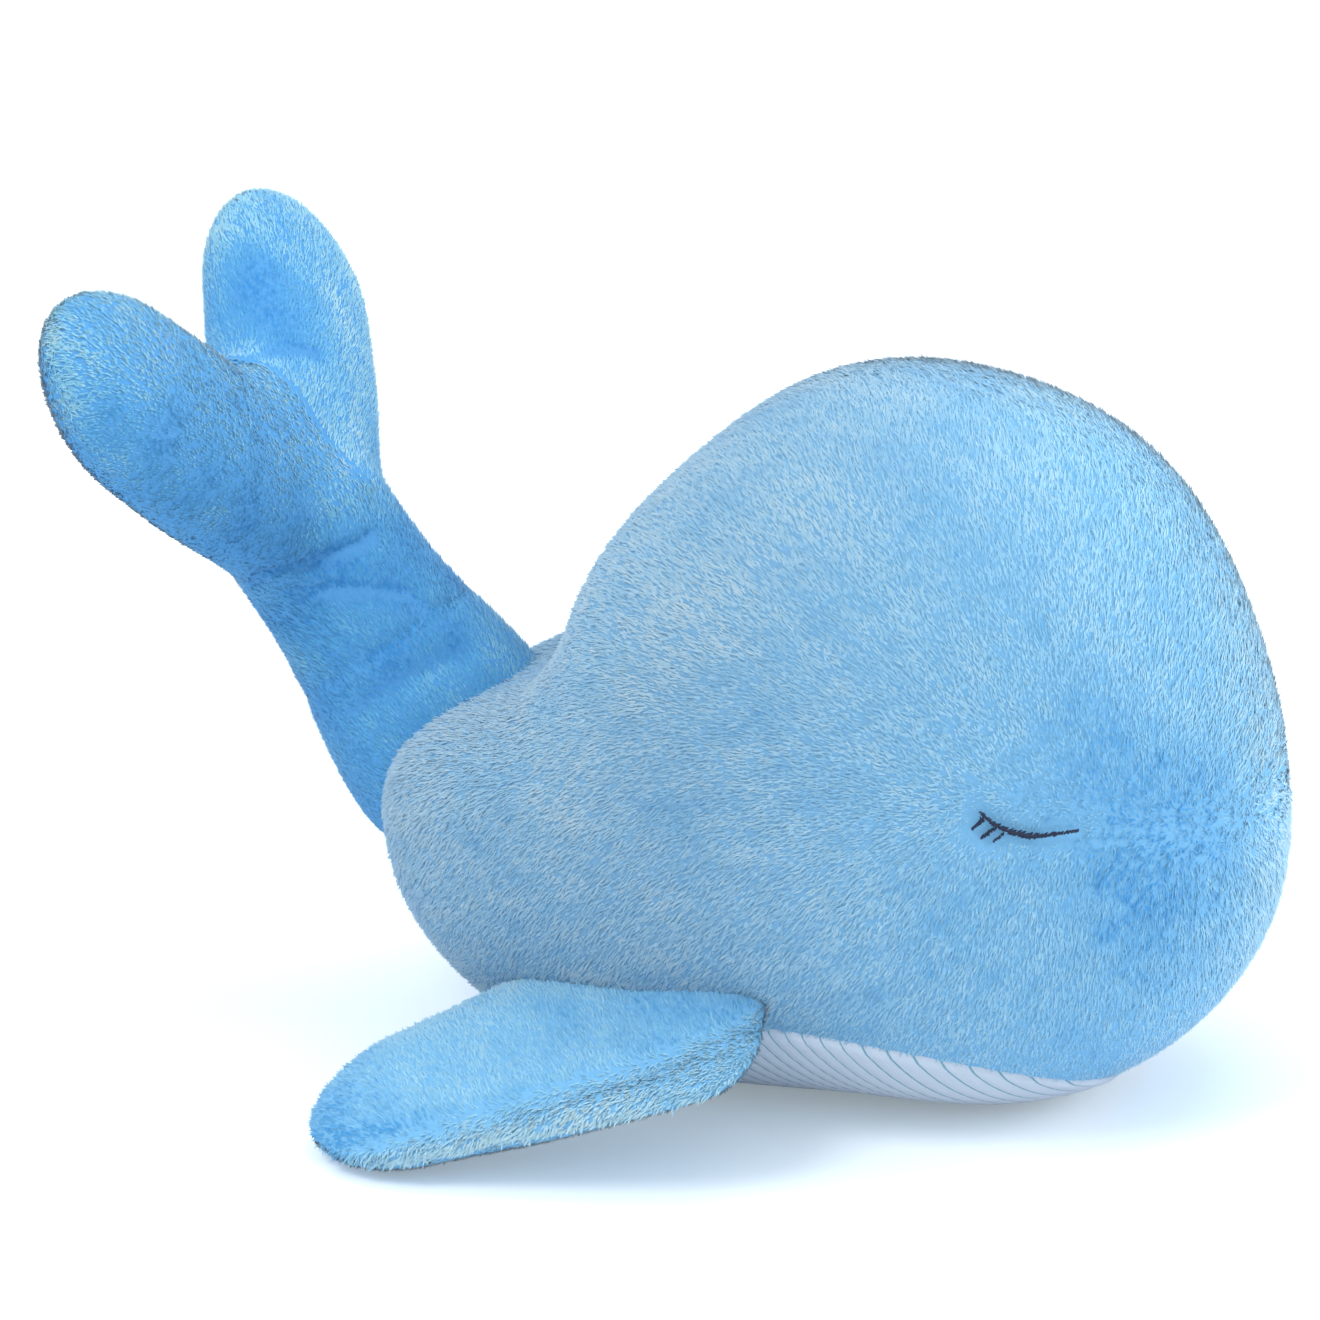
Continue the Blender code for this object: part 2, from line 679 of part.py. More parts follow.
def main():
    clear_scene()
    shop = Workshop()
    hinge_point, _ = fin_hinge()
    tail_pivot = shop.pivot("tail_hinge", TAIL_PIVOT)
    fluke_pivot = shop.pivot("fluke_hinge", FLUKE_PIVOT)
    fin_pivots = {
        "right": shop.pivot("right_fin_hinge", hinge_point),
        "left": shop.pivot("left_fin_hinge", hinge_point * Vector((1, -1, 1))),
    }
    make_body(shop)
    make_tail(shop, tail_pivot)
    make_flukes(shop, fluke_pivot)
    make_fins(shop, fin_pivots)


main()
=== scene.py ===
"""Plush whale: long-napped skins, a striped cotton belly and satin-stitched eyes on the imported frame."""

import math

import bpy
import numpy as np
from bpy.props import FloatProperty, FloatVectorProperty, PointerProperty
from bpy.types import Operator, Panel, PropertyGroup
from mathutils import Matrix, Vector


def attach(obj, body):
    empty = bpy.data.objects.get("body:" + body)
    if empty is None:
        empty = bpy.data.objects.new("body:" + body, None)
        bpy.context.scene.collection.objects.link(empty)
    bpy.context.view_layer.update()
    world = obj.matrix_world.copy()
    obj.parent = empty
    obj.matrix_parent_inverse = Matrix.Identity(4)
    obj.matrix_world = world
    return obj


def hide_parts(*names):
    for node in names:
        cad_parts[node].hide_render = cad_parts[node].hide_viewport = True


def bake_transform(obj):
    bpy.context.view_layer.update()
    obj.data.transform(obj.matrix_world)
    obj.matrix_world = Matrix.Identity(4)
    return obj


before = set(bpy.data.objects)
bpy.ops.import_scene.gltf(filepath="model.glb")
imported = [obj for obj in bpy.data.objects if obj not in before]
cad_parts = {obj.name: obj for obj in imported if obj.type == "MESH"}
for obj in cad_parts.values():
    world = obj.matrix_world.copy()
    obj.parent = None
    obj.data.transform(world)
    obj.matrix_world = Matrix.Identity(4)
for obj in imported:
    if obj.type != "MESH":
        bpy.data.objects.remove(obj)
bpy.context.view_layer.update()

bl_info = {
    "name": "Plush Whale",
    "version": (1, 0, 0),
    "blender": (4, 5, 0),
    "location": "3D View > Sidebar > Plush Whale",
    "description": "Stuffed whale with a napped blue pile, a striped belly and stitched eyes",
    "category": "Object",
}

MM = 0.001

# ---------------------------------------------------------------- sizes shared with the solids

BODY_REACH = 0.118
BODY_HALF_WIDTH = 0.084
OUTLINE_SHARES = (
    0.99, 0.978, 0.975, 0.983, 0.985, 0.964, 0.93, 0.894,
    0.85, 0.793, 0.735, 0.69, 0.64, 0.592, 0.603, 0.69,
    0.91, 0.985, 0.975, 0.925, 0.86, 0.788, 0.727, 0.689,
    0.674, 0.684, 0.727, 0.806, 0.895, 0.963, 1.0, 1.004,
)  # fmt: skip
FLOOR_FLAT_DEPTH = 0.0005
BODY_CENTRE_HEIGHT = BODY_REACH * OUTLINE_SHARES[24] - FLOOR_FLAT_DEPTH
BODY_SQUARENESS = (
    2.1, 2.01, 1.99, 2.02, 2.1, 2.6, 3.8, 4.1,
    2.9, 2.71, 2.78, 2.8, 2.75, 2.62, 2.44, 2.25,
)  # fmt: skip

ARCH_CENTRE = 0.0015
ARCH_HALF_LENGTH = 0.0855
ARCH_HEIGHT = 0.033

TAIL_PIVOT = np.array((-0.103, 0.0, 0.070))
TAIL_RISE = math.radians(52.8)
TAIL_AXIS = np.array((-math.cos(TAIL_RISE), 0.0, math.sin(TAIL_RISE)))
TAIL_LENGTH = 0.0672
TAIL_ROOT_RADIUS = 0.032
TAIL_TOP_RADIUS = 0.0245
TAIL_TAPER_SHARE = 0.75
TAIL_HALF_WIDTH = 0.029
TAIL_WIDTH_SHARES = (1, 1, 0.95, 0.90, 0.88, 0.88)

FLUKE_PIVOT = TAIL_PIVOT + TAIL_AXIS * TAIL_LENGTH
FLUKE_RISE = math.radians(60)
FLUKE_AXIS = np.array((-math.cos(FLUKE_RISE), 0.0, math.sin(FLUKE_RISE)))
FLUKE_SPREAD = math.radians(44)
LOBE_LENGTH = 0.1055
LOBE_SINK = 0.012
LOBE_HALF_THICKNESS = 0.019
LOBE_HALF_WIDTH = 0.0296
LOBE_ROUNDS = (0.018, 0.034)
LOBE_THICKNESS_SHARES = (1, 1, 1, 0.92, 0.80)
LOBE_WIDTH_SHARES = (0.82, 0.95, 1, 1, 0.95)

FIN_ROOT_SETBACK = 0.0155
FIN_ROOT_HEIGHT = 0.0345
FIN_TIP_SETBACK = 0.0975
FIN_TIP_SIDE_OFFSET = 0.1150
FIN_TIP_HEIGHT = 0.0051
FIN_SINK = 0.024
FIN_CHORD_SWEEP = math.radians(30.5)
FIN_HALF_THICKNESS = 0.011
FIN_HALF_WIDTH = 0.0405
FIN_ROUNDS = (0.020, 0.028)
FIN_THICKNESS_SHARES = (0.55, 0.70, 1, 0.97, 0.80)
FIN_WIDTH_SHARES = (1, 1, 0.87, 0.70, 0.62)

EYE_FORWARD = 0.0713
EYE_HEIGHT = 0.0904
EYE_TILT = math.radians(-14)

RIGHT, LEFT = -1, 1

# ---------------------------------------------------------------- curves and forms


def closed_curve(values, angle):
    """Periodic cubic spline through values spaced evenly round a turn, read at angles."""
    count = len(values)
    ring = (4 * np.eye(count) + np.roll(np.eye(count), 1, 0) + np.roll(np.eye(count), -1, 0)) / 6
    weights = np.linalg.solve(ring, np.array(values, float))
    place = np.mod(angle / (2 * np.pi), 1) * count
    first = np.floor(place).astype(int)
    f = place - first
    a, b, c, d = (weights[(first + k) % count] for k in (-1, 0, 1, 2))
    blend = (1 - f) ** 3 * a + (3 * f**3 - 6 * f**2 + 4) * b
    return (blend + (1 + 3 * f + 3 * f**2 - 3 * f**3) * c + f**3 * d) / 6


def open_curve(values, share):
    """Smooth curve through evenly spaced values, read at shares of its length."""
    ends = np.array([2 * values[0] - values[1], *values, 2 * values[-1] - values[-2]], float)
    place = np.clip(share, 0, 1) * (len(values) - 1)
    first = np.minimum(place.astype(int), len(values) - 2)
    f = place - first
    a, b, c, d = (ends[first + k] for k in range(4))
    cubic = (2 * a - 5 * b + 4 * c - d) * f**2 + (3 * b - a - 3 * c + d) * f**3
    return 0.5 * (2 * b + (c - a) * f + cubic)


def smooth(value, low, high):
    """Eased step from 0 at low to 1 at high."""
    share = np.clip((value - low) / (high - low), 0, 1)
    return share * share * (3 - 2 * share)


def unit(vectors):
    """Each vector at length one."""
    return vectors / np.maximum(np.linalg.norm(vectors, axis=-1, keepdims=True), 1e-12)


def dot(one, other):
    """Product of each pair of vectors, kept as a column."""
    return (one * other).sum(-1, keepdims=True)


def body_reach(angle):
    return BODY_REACH * closed_curve(OUTLINE_SHARES, angle)


def body_squareness(angle):
    return closed_curve(BODY_SQUARENESS, angle)


def body_surface(angle, side, inset=0.0):
    """The body: its side outline at an angle round its centre, carried over to either side
    on a rounded rectangle, reach * cos^e forward and half width * sin^e outward, e = 2 / squareness."""
    reach = body_reach(angle) - inset
    exponent = 2 / body_squareness(angle)
    rim = np.abs(np.cos(side)) ** exponent
    out = np.sign(np.sin(side)) * np.abs(np.sin(side)) ** exponent
    return np.stack(
        [
            reach * rim * np.cos(angle),
            (inset - BODY_HALF_WIDTH) * out,
            BODY_CENTRE_HEIGHT + reach * rim * np.sin(angle),
        ],
        -1,
    )


def flank(forward, height):
    """How far the body's side stands out at places seen from the side."""
    up = height - BODY_CENTRE_HEIGHT
    angle = np.arctan2(up, forward)
    share = np.minimum(np.hypot(forward, up) / body_reach(angle), 1)
    square = body_squareness(angle)
    return BODY_HALF_WIDTH * (1 - share**square) ** (1 / square)


def body_depth(points):
    """About how far points lie inside the body, in metres, below nought outside."""
    up = points[..., 2] - BODY_CENTRE_HEIGHT
    angle = np.arctan2(up, points[..., 0])
    square = body_squareness(angle)
    across = np.abs(points[..., 1]) / BODY_HALF_WIDTH
    level = ((np.hypot(points[..., 0], up) / body_reach(angle)) ** square + across**square) ** (1 / square)
    return (1 - level) * np.linalg.norm(points - (0, 0, BODY_CENTRE_HEIGHT), axis=-1)


class Limb:
    """A stuffed limb: a straight axis, its sizes along it, and a round at either end."""

    def __init__(self, root, axis, side, length, half_thickness, half_width, rounds):
        self.root = np.array(root, float)
        self.axis = unit(np.array(axis, float))
        side = np.array(side, float)
        self.side = unit(side - self.axis * (side @ self.axis))
        self.up = np.cross(self.axis, self.side)
        self.length = length
        self.half_thickness = half_thickness
        self.half_width = half_width
        self.rounds = rounds

    def surface(self, around, lift, inset=0.0):
        """An oval about the axis whose half sizes follow the length and close, as a quarter
        round does, over the round at either end."""
        along = inset + (1 + np.sin(lift)) / 2 * (self.length - 2 * inset)
        closing = np.ones_like(along)
        for depth, end_round in zip((along, self.length - along), self.rounds):
            near = np.minimum((depth - inset) / (end_round - inset), 1)
            closing = closing * np.sqrt(np.maximum(near * (2 - near), 0))
        share = along / self.length
        width = (self.half_width(share) - inset) * closing
        thickness = (self.half_thickness(share) - inset) * closing
        return (
            self.root
            + self.axis * along[..., None]
            + self.side * (width * np.cos(around))[..., None]
            + self.up * (thickness * np.sin(around))[..., None]
        )

    def local(self, points):
        """Share along the axis, and the shares of half width and half thickness, of points."""
        away = points - self.root
        share = away @ self.axis / self.length
        return share, away @ self.side / self.half_width(share), away @ self.up / self.half_thickness(share)


def tail_thickness(share):
    """The stalk's half thickness, eased from its root round to its top round."""
    past = share * (TAIL_LENGTH + TAIL_ROOT_RADIUS + TAIL_TOP_RADIUS) - TAIL_ROOT_RADIUS
    run = smooth(past, 0, TAIL_LENGTH * TAIL_TAPER_SHARE)
    return TAIL_ROOT_RADIUS + (TAIL_TOP_RADIUS - TAIL_ROOT_RADIUS) * run


TAIL = Limb(
    TAIL_PIVOT - TAIL_AXIS * TAIL_ROOT_RADIUS,
    TAIL_AXIS,
    (0, 1, 0),
    TAIL_LENGTH + TAIL_ROOT_RADIUS + TAIL_TOP_RADIUS,
    tail_thickness,
    lambda share: TAIL_HALF_WIDTH * open_curve(TAIL_WIDTH_SHARES, share),
    (TAIL_ROOT_RADIUS, TAIL_TOP_RADIUS),
)


def lobe_limb(hand):
    """One fluke lobe, spread outward from the stalk's top."""
    outward = np.array((0.0, hand, 0.0))
    axis = FLUKE_AXIS * math.cos(FLUKE_SPREAD) + outward * math.sin(FLUKE_SPREAD)
    return Limb(
        FLUKE_PIVOT - axis * LOBE_SINK,
        axis,
        np.cross(axis, np.cross(FLUKE_AXIS, outward)),
        LOBE_LENGTH + LOBE_SINK,
        lambda share: LOBE_HALF_THICKNESS * open_curve(LOBE_THICKNESS_SHARES, share),
        lambda share: LOBE_HALF_WIDTH * open_curve(LOBE_WIDTH_SHARES, share),
        LOBE_ROUNDS,
    )


def fin_limb(hand):
    """One fin, from inside the flank down to its tip on the floor."""
    root_out = float(flank(np.array(-FIN_ROOT_SETBACK), np.array(FIN_ROOT_HEIGHT)))
    root = np.array((-FIN_ROOT_SETBACK, hand * root_out, FIN_ROOT_HEIGHT))
    tip = np.array((-FIN_TIP_SETBACK, hand * FIN_TIP_SIDE_OFFSET, FIN_TIP_HEIGHT))
    axis = unit(tip - root)
    return Limb(
        root - axis * FIN_SINK,
        axis,
        (math.cos(FIN_CHORD_SWEEP), hand * math.sin(FIN_CHORD_SWEEP), 0),
        float(np.linalg.norm(tip - root)) + FIN_SINK,
        lambda share: FIN_HALF_THICKNESS * open_curve(FIN_THICKNESS_SHARES, share),
        lambda share: FIN_HALF_WIDTH * open_curve(FIN_WIDTH_SHARES, share),
        FIN_ROUNDS,
    )


# ---------------------------------------------------------------- surfaces as arrays


class Shell:
    """A closed surface: its points, its triangles, and a normal at each point."""

    def __init__(self, points, faces):
        self.points = points
        self.faces = faces
        self.renew()

    def renew(self):
        """Normals of the points: the sum of their faces' normals, each weighted by its area."""
        a, b, c = (self.points[self.faces[:, k]] for k in range(3))
        self.face_vectors = np.cross(b - a, c - a)
        total = np.zeros_like(self.points)
        for k in range(3):
            for axis in range(3):
                total[:, axis] += np.bincount(
                    self.faces[:, k], self.face_vectors[:, axis], minlength=len(total)
                )
        self.normals = unit(total)

    def outward(self):
        """Turn the faces over if the enclosed volume comes out below nought."""
        a = self.points[self.faces[:, 0]]
        if (a * self.face_vectors).sum() < 0:
            self.faces = self.faces[:, ::-1].copy()
            self.renew()
        return self

    def press(self, line, depth, width, sharp=2.0):
        """Push the surface in along a line of places, by depth there, fading over width."""
        away = np.sqrt(nearest(self.points, line)[0])
        self.points -= self.normals * (depth * np.exp(-((away / width) ** sharp)))[:, None]
        self.renew()

    def onto(self, line):
        """The shell's own points that lie nearest to a line of places in mm."""
        spots = np.array(line) * MM
        return np.array([self.points[((self.points - spot) ** 2).sum(1).argmin()] for spot in spots])

    def relax(self, rounds, share):
        """Draw each point towards the mean of its neighbours, round after round, by its share."""
        here, there = self.faces.ravel(), np.roll(self.faces, -1, 1).ravel()
        count = np.bincount(here, minlength=len(self.points))[:, None]
        for _ in range(rounds):
            total = [np.bincount(here, self.points[there, k], minlength=len(count)) for k in range(3)]
            self.points += (np.stack(total, -1) / count - self.points) * share[:, None]
        self.renew()

    def scatter(self, per_area, keep=None, seed=0):
        """Random places on the surface, as many for equal areas, with their smooth normals."""
        picker = np.random.default_rng(seed)
        areas = np.linalg.norm(self.face_vectors, axis=1) / 2
        if keep is not None:
            areas = areas * keep(self.points[self.faces].mean(1))
        count = int(areas.sum() * per_area)
        face = np.searchsorted(np.cumsum(areas), picker.random(count) * areas.sum())
        corner = self.faces[np.minimum(face, len(self.faces) - 1)]
        u, v = picker.random((2, count))
        over = u + v > 1
        u, v = np.where(over, 1 - u, u), np.where(over, 1 - v, v)
        shares = np.stack([1 - u - v, u, v], -1)[..., None]
        return (self.points[corner] * shares).sum(1), unit((self.normals[corner] * shares).sum(1))


def nearest(points, line):
    """Squared distance from points to a line of straight runs, and the share along it."""
    line = np.array(line, float)
    best = np.full(len(points), np.inf)
    where = np.zeros(len(points))
    lengths = np.linalg.norm(np.diff(line, axis=0), axis=1)
    for number, (start, end) in enumerate(zip(line[:-1], line[1:])):
        run = end - start
        share = np.clip((points - start) @ run / (run @ run), 0, 1)
        gap = ((points - start - share[:, None] * run) ** 2).sum(1)
        closer = gap < best
        best = np.where(closer, gap, best)
        where = np.where(closer, (lengths[:number].sum() + share * lengths[number]) / lengths.sum(), where)
    return best, where


def grid_faces(rows, columns, closed):
    """Triangles of a grid of points, its columns joined round when closed."""
    spans = columns if closed else columns - 1
    i, j = np.meshgrid(np.arange(rows - 1), np.arange(spans), indexing="ij")
    k = (j + 1) % columns
    a, b, c, d = i * columns + j, (i + 1) * columns + j, (i + 1) * columns + k, i * columns + k
    return np.concatenate([np.stack([a, b, c], -1).reshape(-1, 3), np.stack([a, c, d], -1).reshape(-1, 3)])


def ball_shell(place, rows, columns):
    """A closed surface from a function of two angles: one round, one from pole to pole,
    the poles drawn to single points."""
    lift = np.linspace(-np.pi / 2, np.pi / 2, rows)
    around = np.linspace(0, 2 * np.pi, columns, endpoint=False)
    lifts, arounds = np.meshgrid(lift, around, indexing="ij")
    points = place(arounds, lifts)
    faces = grid_faces(rows, columns, True)
    south, north = points[0].mean(0), points[-1].mean(0)
    flat = np.concatenate([points[1:-1].reshape(-1, 3), [south, north]])
    last = len(flat) - 2
    inner = np.where(faces >= (rows - 1) * columns, last + 1, faces - columns)
    faces = np.where(faces < columns, last, inner)
    real = (faces[:, 0] != faces[:, 1]) & (faces[:, 1] != faces[:, 2]) & (faces[:, 0] != faces[:, 2])
    return Shell(flat, faces[real]).outward()


def tube_points(path, across, over, sides):
    """Rings of points along a path: an oval on the across and over vectors, closed to a
    point at both ends."""
    turn = np.linspace(0, 2 * np.pi, sides, endpoint=False)
    return (
        path[:, None]
        + across[:, None] * np.cos(turn)[None, :, None]
        + over[:, None] * np.sin(turn)[None, :, None]
    )


# ---------------------------------------------------------------- Blender meshes


def mesh_object(name, points, faces):
    """A new object in the scene with these points and triangles, at the origin."""
    mesh = bpy.data.meshes.new(name)
    mesh.vertices.add(len(points))
    mesh.vertices.foreach_set("co", np.ascontiguousarray(points, np.float32).ravel())
    mesh.loops.add(faces.size)
    mesh.loops.foreach_set("vertex_index", faces.astype(np.int32).ravel())
    mesh.polygons.add(len(faces))
    mesh.polygons.foreach_set("loop_start", np.arange(0, faces.size, 3, dtype=np.int32))
    mesh.update(calc_edges=True)
    mesh.polygons.foreach_set("use_smooth", np.ones(len(faces), bool))
    made = bpy.data.objects.new(name, mesh)
    bpy.context.scene.collection.objects.link(made)
    return made


def set_map(made, name, places):
    """A UV map from one place for each point of the mesh."""
    mesh = made.data
    corners = np.empty(len(mesh.loops), np.int32)
    mesh.loops.foreach_get("vertex_index", corners)
    mesh.uv_layers.new(name=name).uv.foreach_set("vector", places[corners].astype(np.float32).ravel())


def skin_object(name, shell, material):
    """The cloth under the pile, as an object."""
    made = mesh_object(name, shell.points, shell.faces)
    made.data.materials.append(material)
    return made


def joined_shell(shells, cell, rounds):
    """Several closed surfaces melted into one: their union on a voxel grid, then smoothed."""
    offset, points, faces = 0, [], []
    for shell in shells:
        points.append(shell.points)
        faces.append(shell.faces + offset)
        offset += len(shell.points)
    source = mesh_object("joining", np.concatenate(points), np.concatenate(faces))
    remesh = source.modifiers.new("union", "REMESH")
    remesh.mode = "VOXEL"
    remesh.voxel_size = cell
    relax = source.modifiers.new("relax", "SMOOTH")
    relax.factor = 0.5
    relax.iterations = rounds
    source.modifiers.new("triangles", "TRIANGULATE")
    graph = bpy.context.evaluated_depsgraph_get()
    mesh = bpy.data.meshes.new_from_object(source.evaluated_get(graph))
    made = np.empty(len(mesh.vertices) * 3, np.float32)
    mesh.vertices.foreach_get("co", made)
    corners = np.empty(len(mesh.loops), np.int32)
    mesh.loops.foreach_get("vertex_index", corners)
    bpy.data.objects.remove(source, do_unlink=True)
    bpy.data.meshes.remove(mesh)
    return Shell(made.reshape(-1, 3).astype(float), corners.reshape(-1, 3)).outward()


# ---------------------------------------------------------------- pile


def ripple(points, wavelength, seed, parts=7):
    """Soft random field between about -1 and 1: a sum of plane waves of random headings."""
    picker = np.random.default_rng(seed)
    headings = unit(picker.normal(size=(parts, 3))) * picker.uniform(0.7, 1.4, (parts, 1))
    phases = picker.uniform(0, 2 * np.pi, parts)
    return np.sin(points @ headings.T * (2 * np.pi / wavelength) + phases).sum(1) / math.sqrt(parts)


LOCK_SIZE = 3.4 * MM
LOCK_STRAY = 0.20
TUFT_STRAY = 0.13
# angles in radians: what weak nap adds to a tuft's lift, how much lifts differ, and their limits
WEAK_NAP_LIFT = 0.40
LIFT_SPREAD = 0.11
LIFT_LIMITS = (0.12, 1.3)
# how much of its length a tuft loses where the skin faces down, and between which slopes
HUNG_LOSS = 0.35
HUNG_SLOPES = (0.1, 0.7)
LENGTH_SPREAD = (0.72, 1.18)
WIDTH_SPREAD = (0.75, 1.25)
ROOT_SINK = 0.38 * MM
SHOULDER_SHARE = 0.42
FLOOR_GAP = 0.3 * MM
# a tuft's facets by their corners: root, left shoulder, right shoulder, tip
TUFT_FACES = np.array(((0, 2, 3), (0, 3, 1), (0, 1, 2), (3, 2, 1)))
# the map that the material reads at those corners: shade, and share from root to tip
TUFT_SHADE_STEPS = np.array((0, -0.006, 0.006, 0))
TUFT_HEIGHTS = np.array((0.04, 0.44, 0.44, 0.97))


def pile_arrays(roots, normals, nap, settings, seed, shade, length, flatter=0.0):
    """Tufts of fibre as closed leaves of four facets: a root, a left and a right shoulder and a tip.

    Each leans along the nap, lifted from the skin by the pile's angle less flatter, and more where
    the nap is weak. Its heading strays a little with its place, so that tufts gather into locks.
    Tufts are shorter where the skin faces down, and none goes through the floor.
    """
    picker = np.random.default_rng(seed)
    count = len(roots)
    stray = np.stack([ripple(roots, LOCK_SIZE, seed + k) for k in range(3)], -1)
    wild = picker.normal(size=(count, 3))
    strength = np.clip(6 * np.linalg.norm(nap, axis=1), 0, 1)
    lean = nap + stray * LOCK_STRAY + wild * TUFT_STRAY
    lean = unit(lean - normals * dot(lean, normals))
    lift = math.radians(settings.lift) - flatter + (1 - strength) * WEAK_NAP_LIFT
    lift = np.clip(lift + picker.normal(0, LIFT_SPREAD, count), *LIFT_LIMITS)[:, None]
    along = lean * np.cos(lift) + normals * np.sin(lift)
    over = normals * np.cos(lift) - lean * np.sin(lift)
    side = np.cross(normals, lean)
    hung = 1 - HUNG_LOSS * smooth(-normals[:, 2], *HUNG_SLOPES)
    reach = (hung * length * settings.length * picker.uniform(*LENGTH_SPREAD, count))[:, None]
    half = (settings.width / 2 * picker.uniform(*WIDTH_SPREAD, count))[:, None]
    start = roots - normals * ROOT_SINK
    middle = start + along * reach * SHOULDER_SHARE - over * half * SHOULDER_SHARE
    points = np.stack([start, middle + side * half, middle - side * half, start + along * reach], 1)
    height = points[..., 2]
    points[..., 2] = np.where(height < FLOOR_GAP, FLOOR_GAP + (height - FLOOR_GAP) * 0.1, height)
    root_bend, tip_bend = normals + over * 0.3, over * 0.6 + along * 0.3
    bend = np.stack([root_bend, over * 0.5 + side * 0.55, over * 0.5 - side * 0.55, tip_bend], 1)
    turned = unit(normals[:, None] * settings.evenness + bend * (1 - settings.evenness))
    value = np.clip(shade + picker.normal(0, settings.fleck, count), 0.02, 0.98)
    u = value[:, None] + TUFT_SHADE_STEPS
    places = np.stack([u, np.broadcast_to(TUFT_HEIGHTS, u.shape)], -1)
    faces = (np.arange(count) * 4)[:, None, None] + TUFT_FACES
    return points.reshape(-1, 3), faces.reshape(-1, 3), turned.reshape(-1, 3), places.reshape(-1, 2)


def pile_object(name, arrays, material):
    """The tufts as one object, with their soft normals and their shade and length as a map."""
    points, faces, normals, places = arrays
    made = mesh_object(name, points, faces)
    set_map(made, "OFBake", places)
    made.data.normals_split_custom_set_from_vertices(normals)
    made.data.materials.append(material)
    return made


# the flank's nap, read off the photograph: place in mm on the right side, then heading
NAP = np.array(
    (
        (69, -2, 171, -0.42, 0.50, 0.27),
        (98, -4, 141, -0.32, 0.35, 0.65),
        (51, -28, 172, -0.51, 0.69, 0.52),
        (26, -29, 176, -0.47, 0.79, 0.38),
        (60, -55, 142, -0.56, 0.21, 0.80),
        (83, -42, 135, -0.21, 0.38, 0.90),
        (37, -64, 143, -0.68, 0.24, 0.69),
        (8, -52, 161, -0.62, 0.60, 0.50),
        (17, -72, 133, -0.80, 0.19, 0.57),
        (-12, -67, 138, -0.88, 0.43, 0.19),
        (-3, -80, 110, -0.99, 0.08, 0.07),
        (-32, -70, 116, -0.88, 0.44, -0.17),
        (-28, -81, 89, -0.89, -0.03, -0.45),
        (-54, -68, 98, -0.91, -0.01, -0.42),
        (-52, -80, 71, -0.64, 0.12, -0.76),
        (-80, -70, 74, -0.52, 0.11, -0.85),
        (-77, -71, 54, -0.48, 0.37, -0.80),
        (-56, -77, 48, -0.54, 0.31, -0.78),
        (-27, -83, 64, -0.62, 0.08, -0.78),
        (-1, -84, 73, -0.73, 0.01, -0.68),
        (14, -83, 95, -0.98, -0.10, -0.17),
        (24, -83, 65, -0.67, -0.04, -0.74),
        (43, -77, 45, -0.62, 0.05, -0.79),
        (65, -67, 37, -0.49, 0.11, -0.86),
        (68, -70, 72, -0.10, -0.11, -0.99),
        (50, -77, 74, -0.37, -0.17, -0.91),
        (83, -62, 71, -0.18, -0.19, -0.96),
        (91, -54, 48, -0.35, -0.08, -0.93),
        (106, -35, 49, -0.24, 0.00, -0.97),
        (33, -79, 101, -0.83, -0.10, 0.54),
        (53, -71, 111, -0.63, -0.07, 0.78),
        (75, -60, 110, -0.47, -0.05, 0.88),
        (91, -49, 103, -0.35, -0.03, 0.94),
        (113, -15, 95, -0.14, 0.27, 0.95),
        (115, -16, 64, -0.10, -0.24, -0.97),
        (-60, -30, 140, -0.80, 0.50, -0.20),
        (-20, -30, 160, -0.75, 0.60, 0.00),
        (-118, -20, 60, -0.30, 0.30, -0.90),
        (-60, -40, 12, -0.80, 0.40, -0.20),
    )
)

NAP_REACH = 17 * MM


def body_nap(points):
    """The flank's nap at points: the headings read off, weighted by nearness, and mirrored on
    the left side. It is short where neighbouring headings disagree, and the pile stands up there."""
    mirrored = right_side(points)
    total = np.zeros_like(points)
    weight = np.full((len(points), 1), 1e-9)
    for *place, x, y, z in NAP:
        away = ((mirrored - np.array(place) * MM) ** 2).sum(1)
        near = np.exp(-away / (2 * NAP_REACH**2))[:, None]
        total += near * np.array((x, y, z))
        weight += near
    heading = total / weight
    heading[:, 1] *= np.where(points[:, 1] > 0, -1, 1) * smooth(np.abs(points[:, 1]), -2 * MM, 24 * MM)
    return heading


# where the plush looks paler or deeper, partly painted sheen: place in mm, radius in mm, and how much
BODY_TONES_AND_SHEEN = (
    ((103, -40, 82), 29, -0.46),
    ((92, -50, 50), 22, -0.10),
    ((84, -58, 112), 20, -0.10),
    ((34, -80, 52), 26, -0.04),
    ((-20, -66, 135), 26, 0.10),
    ((80, -64, 40), 22, 0.08),
    ((80, -60, 24), 14, -0.12),
    # painted highlight: the paler forehead, and the pale rim down the snout's front where sheen catches the
    # light
    ((104, -30, 124), 26, 0.12),
    ((113, -8, 60), 24, 0.26),
    ((116, -2, 96), 24, 0.34),
    ((-80, -50, 95), 30, 0.10),
)
FLUKE_TONES = (
    ((-158, -74, 168), 15, -0.34),
    ((-148, -58, 152), 15, -0.28),
    ((-138, -40, 137), 15, -0.28),
    ((-155, -55, 134), 14, -0.12),
    ((-161, -62, 183), 17, 0.15),
    ((-166, 22, 178), 14, -0.60),
    ((-155, 16, 170), 12, -0.40),
    ((-170, 41, 192), 14, 0.06),
    ((-146, 37, 166), 20, 0.14),
    ((-130, -2, 144), 18, 0.24),
)
